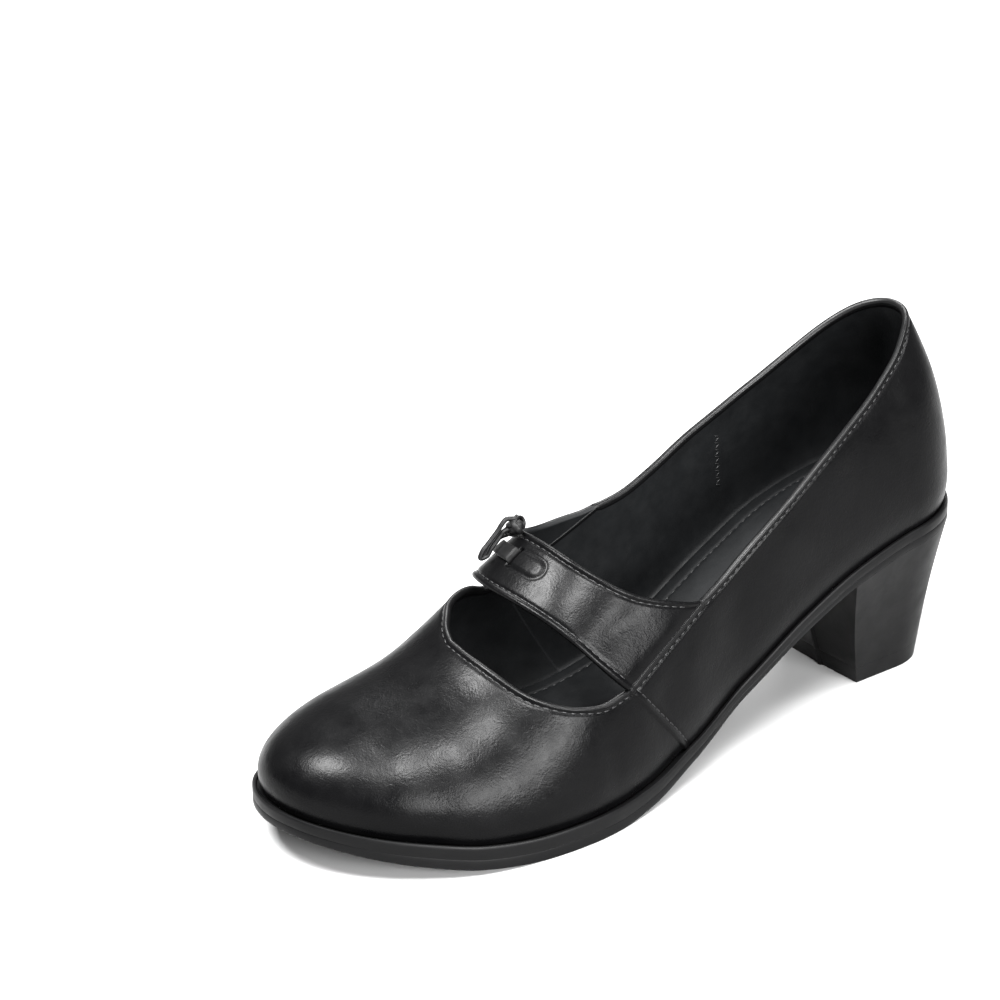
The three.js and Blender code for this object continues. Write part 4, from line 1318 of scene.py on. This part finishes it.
class Weave:
    """Adds pattern nodes to a material. Every pattern reads the object's own metres."""

    def __init__(self, material, shader):
        self.nodes, self.links, self.shader = material.node_tree.nodes, material.node_tree.links, shader
        self.place = self.nodes.new("ShaderNodeTexCoord").outputs["Object"]

    def noise(self, size, detail=3.0, rough=0.55, warp=0.0):
        """A noise whose features are size metres wide."""
        node = self.nodes.new("ShaderNodeTexNoise")
        node.inputs["Scale"].default_value = 1 / size
        node.inputs["Detail"].default_value = detail
        node.inputs["Roughness"].default_value = rough
        node.inputs["Distortion"].default_value = warp
        self.links.new(self.place, node.inputs["Vector"])
        return node.outputs["Fac"]

    def cells(self, size):
        """Cells that are size metres wide, as the distance to their edges."""
        node = self.nodes.new("ShaderNodeTexVoronoi")
        node.feature = "DISTANCE_TO_EDGE"
        node.inputs["Scale"].default_value = 1 / size
        node.inputs["Randomness"].default_value = 1
        self.links.new(self.place, node.inputs["Vector"])
        return node.outputs["Distance"]

    def spread(self, value, low, high, to_low, to_high):
        node = self.nodes.new("ShaderNodeMapRange")
        for socket, number in zip(("From Min", "From Max", "To Min", "To Max"), (low, high, to_low, to_high)):
            node.inputs[socket].default_value = number
        self.links.new(value, node.inputs["Value"])
        return node.outputs["Result"]

    def colours(self, value, first, second):
        node = self.nodes.new("ShaderNodeMix")
        node.data_type = "RGBA"
        node.inputs[6].default_value = (*first, 1)
        node.inputs[7].default_value = (*second, 1)
        self.links.new(value, node.inputs[0])
        self.links.new(node.outputs[2], self.shader.inputs["Base Color"])

    def roughness(self, value):
        self.links.new(value, self.shader.inputs["Roughness"])

    def relief(self, *layers):
        """Each layer is a height, how deep it is in metres and how strong it is."""
        normal = None
        for value, depth, strength in layers:
            node = self.nodes.new("ShaderNodeBump")
            node.inputs["Strength"].default_value = strength
            node.inputs["Distance"].default_value = depth
            self.links.new(value, node.inputs["Height"])
            if normal is not None:
                self.links.new(normal, node.inputs["Normal"])
            normal = node.outputs["Normal"]
        self.links.new(normal, self.shader.inputs["Normal"])


def patterned(name, colour, roughness, specular, tones, gloss, layers):
    """A material whose colour, roughness and relief vary, each by its own pattern.

    tones: noise size, detail, noise from and to, first and second colour. gloss: noise size, detail,
    noise from and to, roughness from and to. layers: noise size, detail, roughness and warp, or a cell
    size alone, with depth and strength.
    """
    material, shader = new_material(name, colour, roughness, Specular_IOR_Level=specular)
    w = Weave(material, shader)
    if tones:
        size, detail, low, high, first, second = tones
        w.colours(w.spread(w.noise(size, detail), low, high, 0, 1), first, second)
    if gloss:
        size, detail, low, high, smoothest, roughest = gloss
        w.roughness(w.spread(w.noise(size, detail), low, high, smoothest, roughest))
    w.relief(*((w.noise(*sizes) if len(sizes) > 1 else w.cells(*sizes), *rest) for sizes, *rest in layers))
    return material


leather = patterned(
    "black_leather", (0.0009, 0.0009, 0.001), 0.31, 0.065,
    tones=(0.022, 3, 0.35, 0.7, (0.0006, 0.0006, 0.0007), (0.0013, 0.0013, 0.0014)),
    gloss=(0.006, 4, 0.3, 0.72, 0.26, 0.37),
    layers=(
        ((0.012, 2, 0.5, 0.4), 0.0005, 0.3),
        ((0.0018, 3, 0.6, 0.8), 0.00018, 0.42),
        ((0.0009,), 0.00008, 0.4),
    ),
)
lining = patterned(
    "black_lining", (0.0022, 0.0024, 0.0027), 0.55, 0.11,
    tones=(0.009, 4, 0.3, 0.7, (0.0017, 0.0019, 0.0021), (0.003, 0.0033, 0.0036)),
    gloss=(0.004, 3, 0.3, 0.7, 0.52, 0.68),
    layers=(((0.008, 3), 0.0004, 0.4), ((0.0007,), 0.00008, 0.4)),
)
rubber = patterned(
    "black_sole", (0.0015, 0.0015, 0.0016), 0.42, 0.09,
    tones=(0.015, 4, 0.3, 0.7, (0.0012, 0.0012, 0.0013), (0.002, 0.002, 0.0021)),
    gloss=(0.007, 4, 0.3, 0.7, 0.36, 0.5),
    layers=(((0.009, 2), 0.0003, 0.25), ((0.0006, 2), 0.00003, 0.4)),
)
lace = patterned(
    "black_lace", (0.0024, 0.0024, 0.0025), 0.42, 0.12,
    tones=(0.003, 3, 0.3, 0.7, (0.0019, 0.0019, 0.002), (0.0034, 0.0034, 0.0035)),
    gloss=(0.002, 3, 0.3, 0.7, 0.36, 0.52),
    layers=(((0.0016, 3), 0.00015, 0.45), ((0.0006,), 0.00005, 0.35)),
)
thread = patterned(
    "black_thread", (0.006, 0.006, 0.0062), 0.4, 0.22,
    tones=(0.0008, 3, 0.3, 0.7, (0.0045, 0.0045, 0.0047), (0.009, 0.009, 0.0093)),
    gloss=None,
    layers=(((0.0003, 2), 0.00006, 0.5),),
)
# The folded edge: its base colour is lighter than the leather's and its specular stronger, a painted highlight along
# the edge.
rim_with_painted_highlight = patterned(
    "black_leather_rim", (0.0016, 0.0016, 0.0017), 0.34, 0.13,
    tones=None,
    gloss=(0.004, 3, 0.3, 0.7, 0.3, 0.42),
    layers=(((0.0012, 3), 0.00008, 0.4),),
)

DRESSED = [
    # pieces, slot, materials
    ([upper], "leather", [leather, lining, rim_with_painted_highlight]),
    ([strap], "leather", [leather, lining]),
    ([insole], "lining", [lining]),
    ([outsole, heel_block, top_lift], "sole", [rubber]),
    ([lace_bar, lace_front, lace_inner] + knot_pieces, "lace", [lace]),
    (stitches, "leather", [thread]),
]


# Floor, light and camera
def area_light(name, place, target, width, power, height):
    data = bpy.data.lights.new(name, "AREA")
    data.energy = power
    data.shape = "RECTANGLE"
    data.size = width
    data.size_y = height
    lamp = bpy.data.objects.new(name, data)
    lamp.location = place
    lamp.rotation_euler = (Vector(target) - Vector(place)).to_track_quat("-Z", "Y").to_euler()
    bpy.context.scene.collection.objects.link(lamp)


def make_stage():
    corners = FLOOR_REACH * np.array([(-1, -1, 0), (1, -1, 0), (1, 1, 0), (-1, 1, 0)], float)
    floor = collection_mesh("floor", corners, np.array([[0, 1, 2, 3]]), smooth_shading=False)
    floor.data.materials.append(new_material("floor_white", FLOOR_TONE, 0.8)[0])
    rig.stage(floor)
    world = bpy.data.worlds.new("studio")
    world.use_nodes = True
    background = world.node_tree.nodes["Background"]
    background.inputs["Color"].default_value = (1, 1, 1, 1)
    background.inputs["Strength"].default_value = WORLD_STRENGTH
    bpy.context.scene.world = world
    for light in LIGHTS:
        area_light(*light)


FLOOR_REACH = 6.0
FLOOR_TONE = (0.235, 0.235, 0.235)
WORLD_STRENGTH = 0.45
LIGHTS = [
    # name, place, target, width, power, height
    ("softbox_above", (0.2, 0.55, 1.4), (0, 0, 0.04), 0.5, 76, 0.45),
    ("softbox_toe", (0.68, -0.3, 1.33), (0, 0, 0.04), 0.55, 98, 0.38),
    ("softbox_side", (0.12, 1.37, 0.6), (0, 0, 0.04), 1.1, 84, 0.42),
    ("softbox_behind", (-0.8, -1.0, 1.3), (0, 0, 0.04), 0.8, 34, 0.5),
    ("softbox_heel", (-0.72, 0.48, 1.24), (0, 0, 0.04), 0.35, 16, 0.3),
]

CAMERA_PLACE = (0.5716, 0.7306, 0.5161)
CAMERA_AHEAD = (-0.5308, -0.7333, -0.4248)
CAMERA_LEVEL = (-0.8100, 0.5864, 0.0)
CAMERA_ROLL = math.radians(-1.56)
CAMERA_LENS = 126  # mm on a 36 mm wide sensor


def make_camera():
    ahead = Vector(CAMERA_AHEAD).normalized()
    level = Vector(CAMERA_LEVEL).normalized()
    above = level.cross(ahead)
    right = level * math.cos(CAMERA_ROLL) + above * math.sin(CAMERA_ROLL)
    up = -level * math.sin(CAMERA_ROLL) + above * math.cos(CAMERA_ROLL)
    data = bpy.data.cameras.new("camera")
    data.lens = CAMERA_LENS
    data.sensor_width = 36
    data.sensor_fit = "HORIZONTAL"
    camera = bpy.data.objects.new("camera", data)
    turn = Matrix((right, up, -ahead)).transposed().to_4x4()
    camera.matrix_world = Matrix.Translation(CAMERA_PLACE) @ turn
    bpy.context.scene.collection.objects.link(camera)
    bpy.context.scene.camera = camera


make_stage()
make_camera()
bpy.context.scene.view_settings.view_transform = "Standard"

for pieces, slot, materials in DRESSED:
    for piece in pieces:
        for material in materials:
            piece.data.materials.append(material)
        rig.ride(piece, "root")
        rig.slot(piece, slot)

with open("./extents.json", "w") as file:
    json.dump({"cad": [list(corner) for corner in cad_box], "model": [list(corner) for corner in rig.bounds()]}, file)
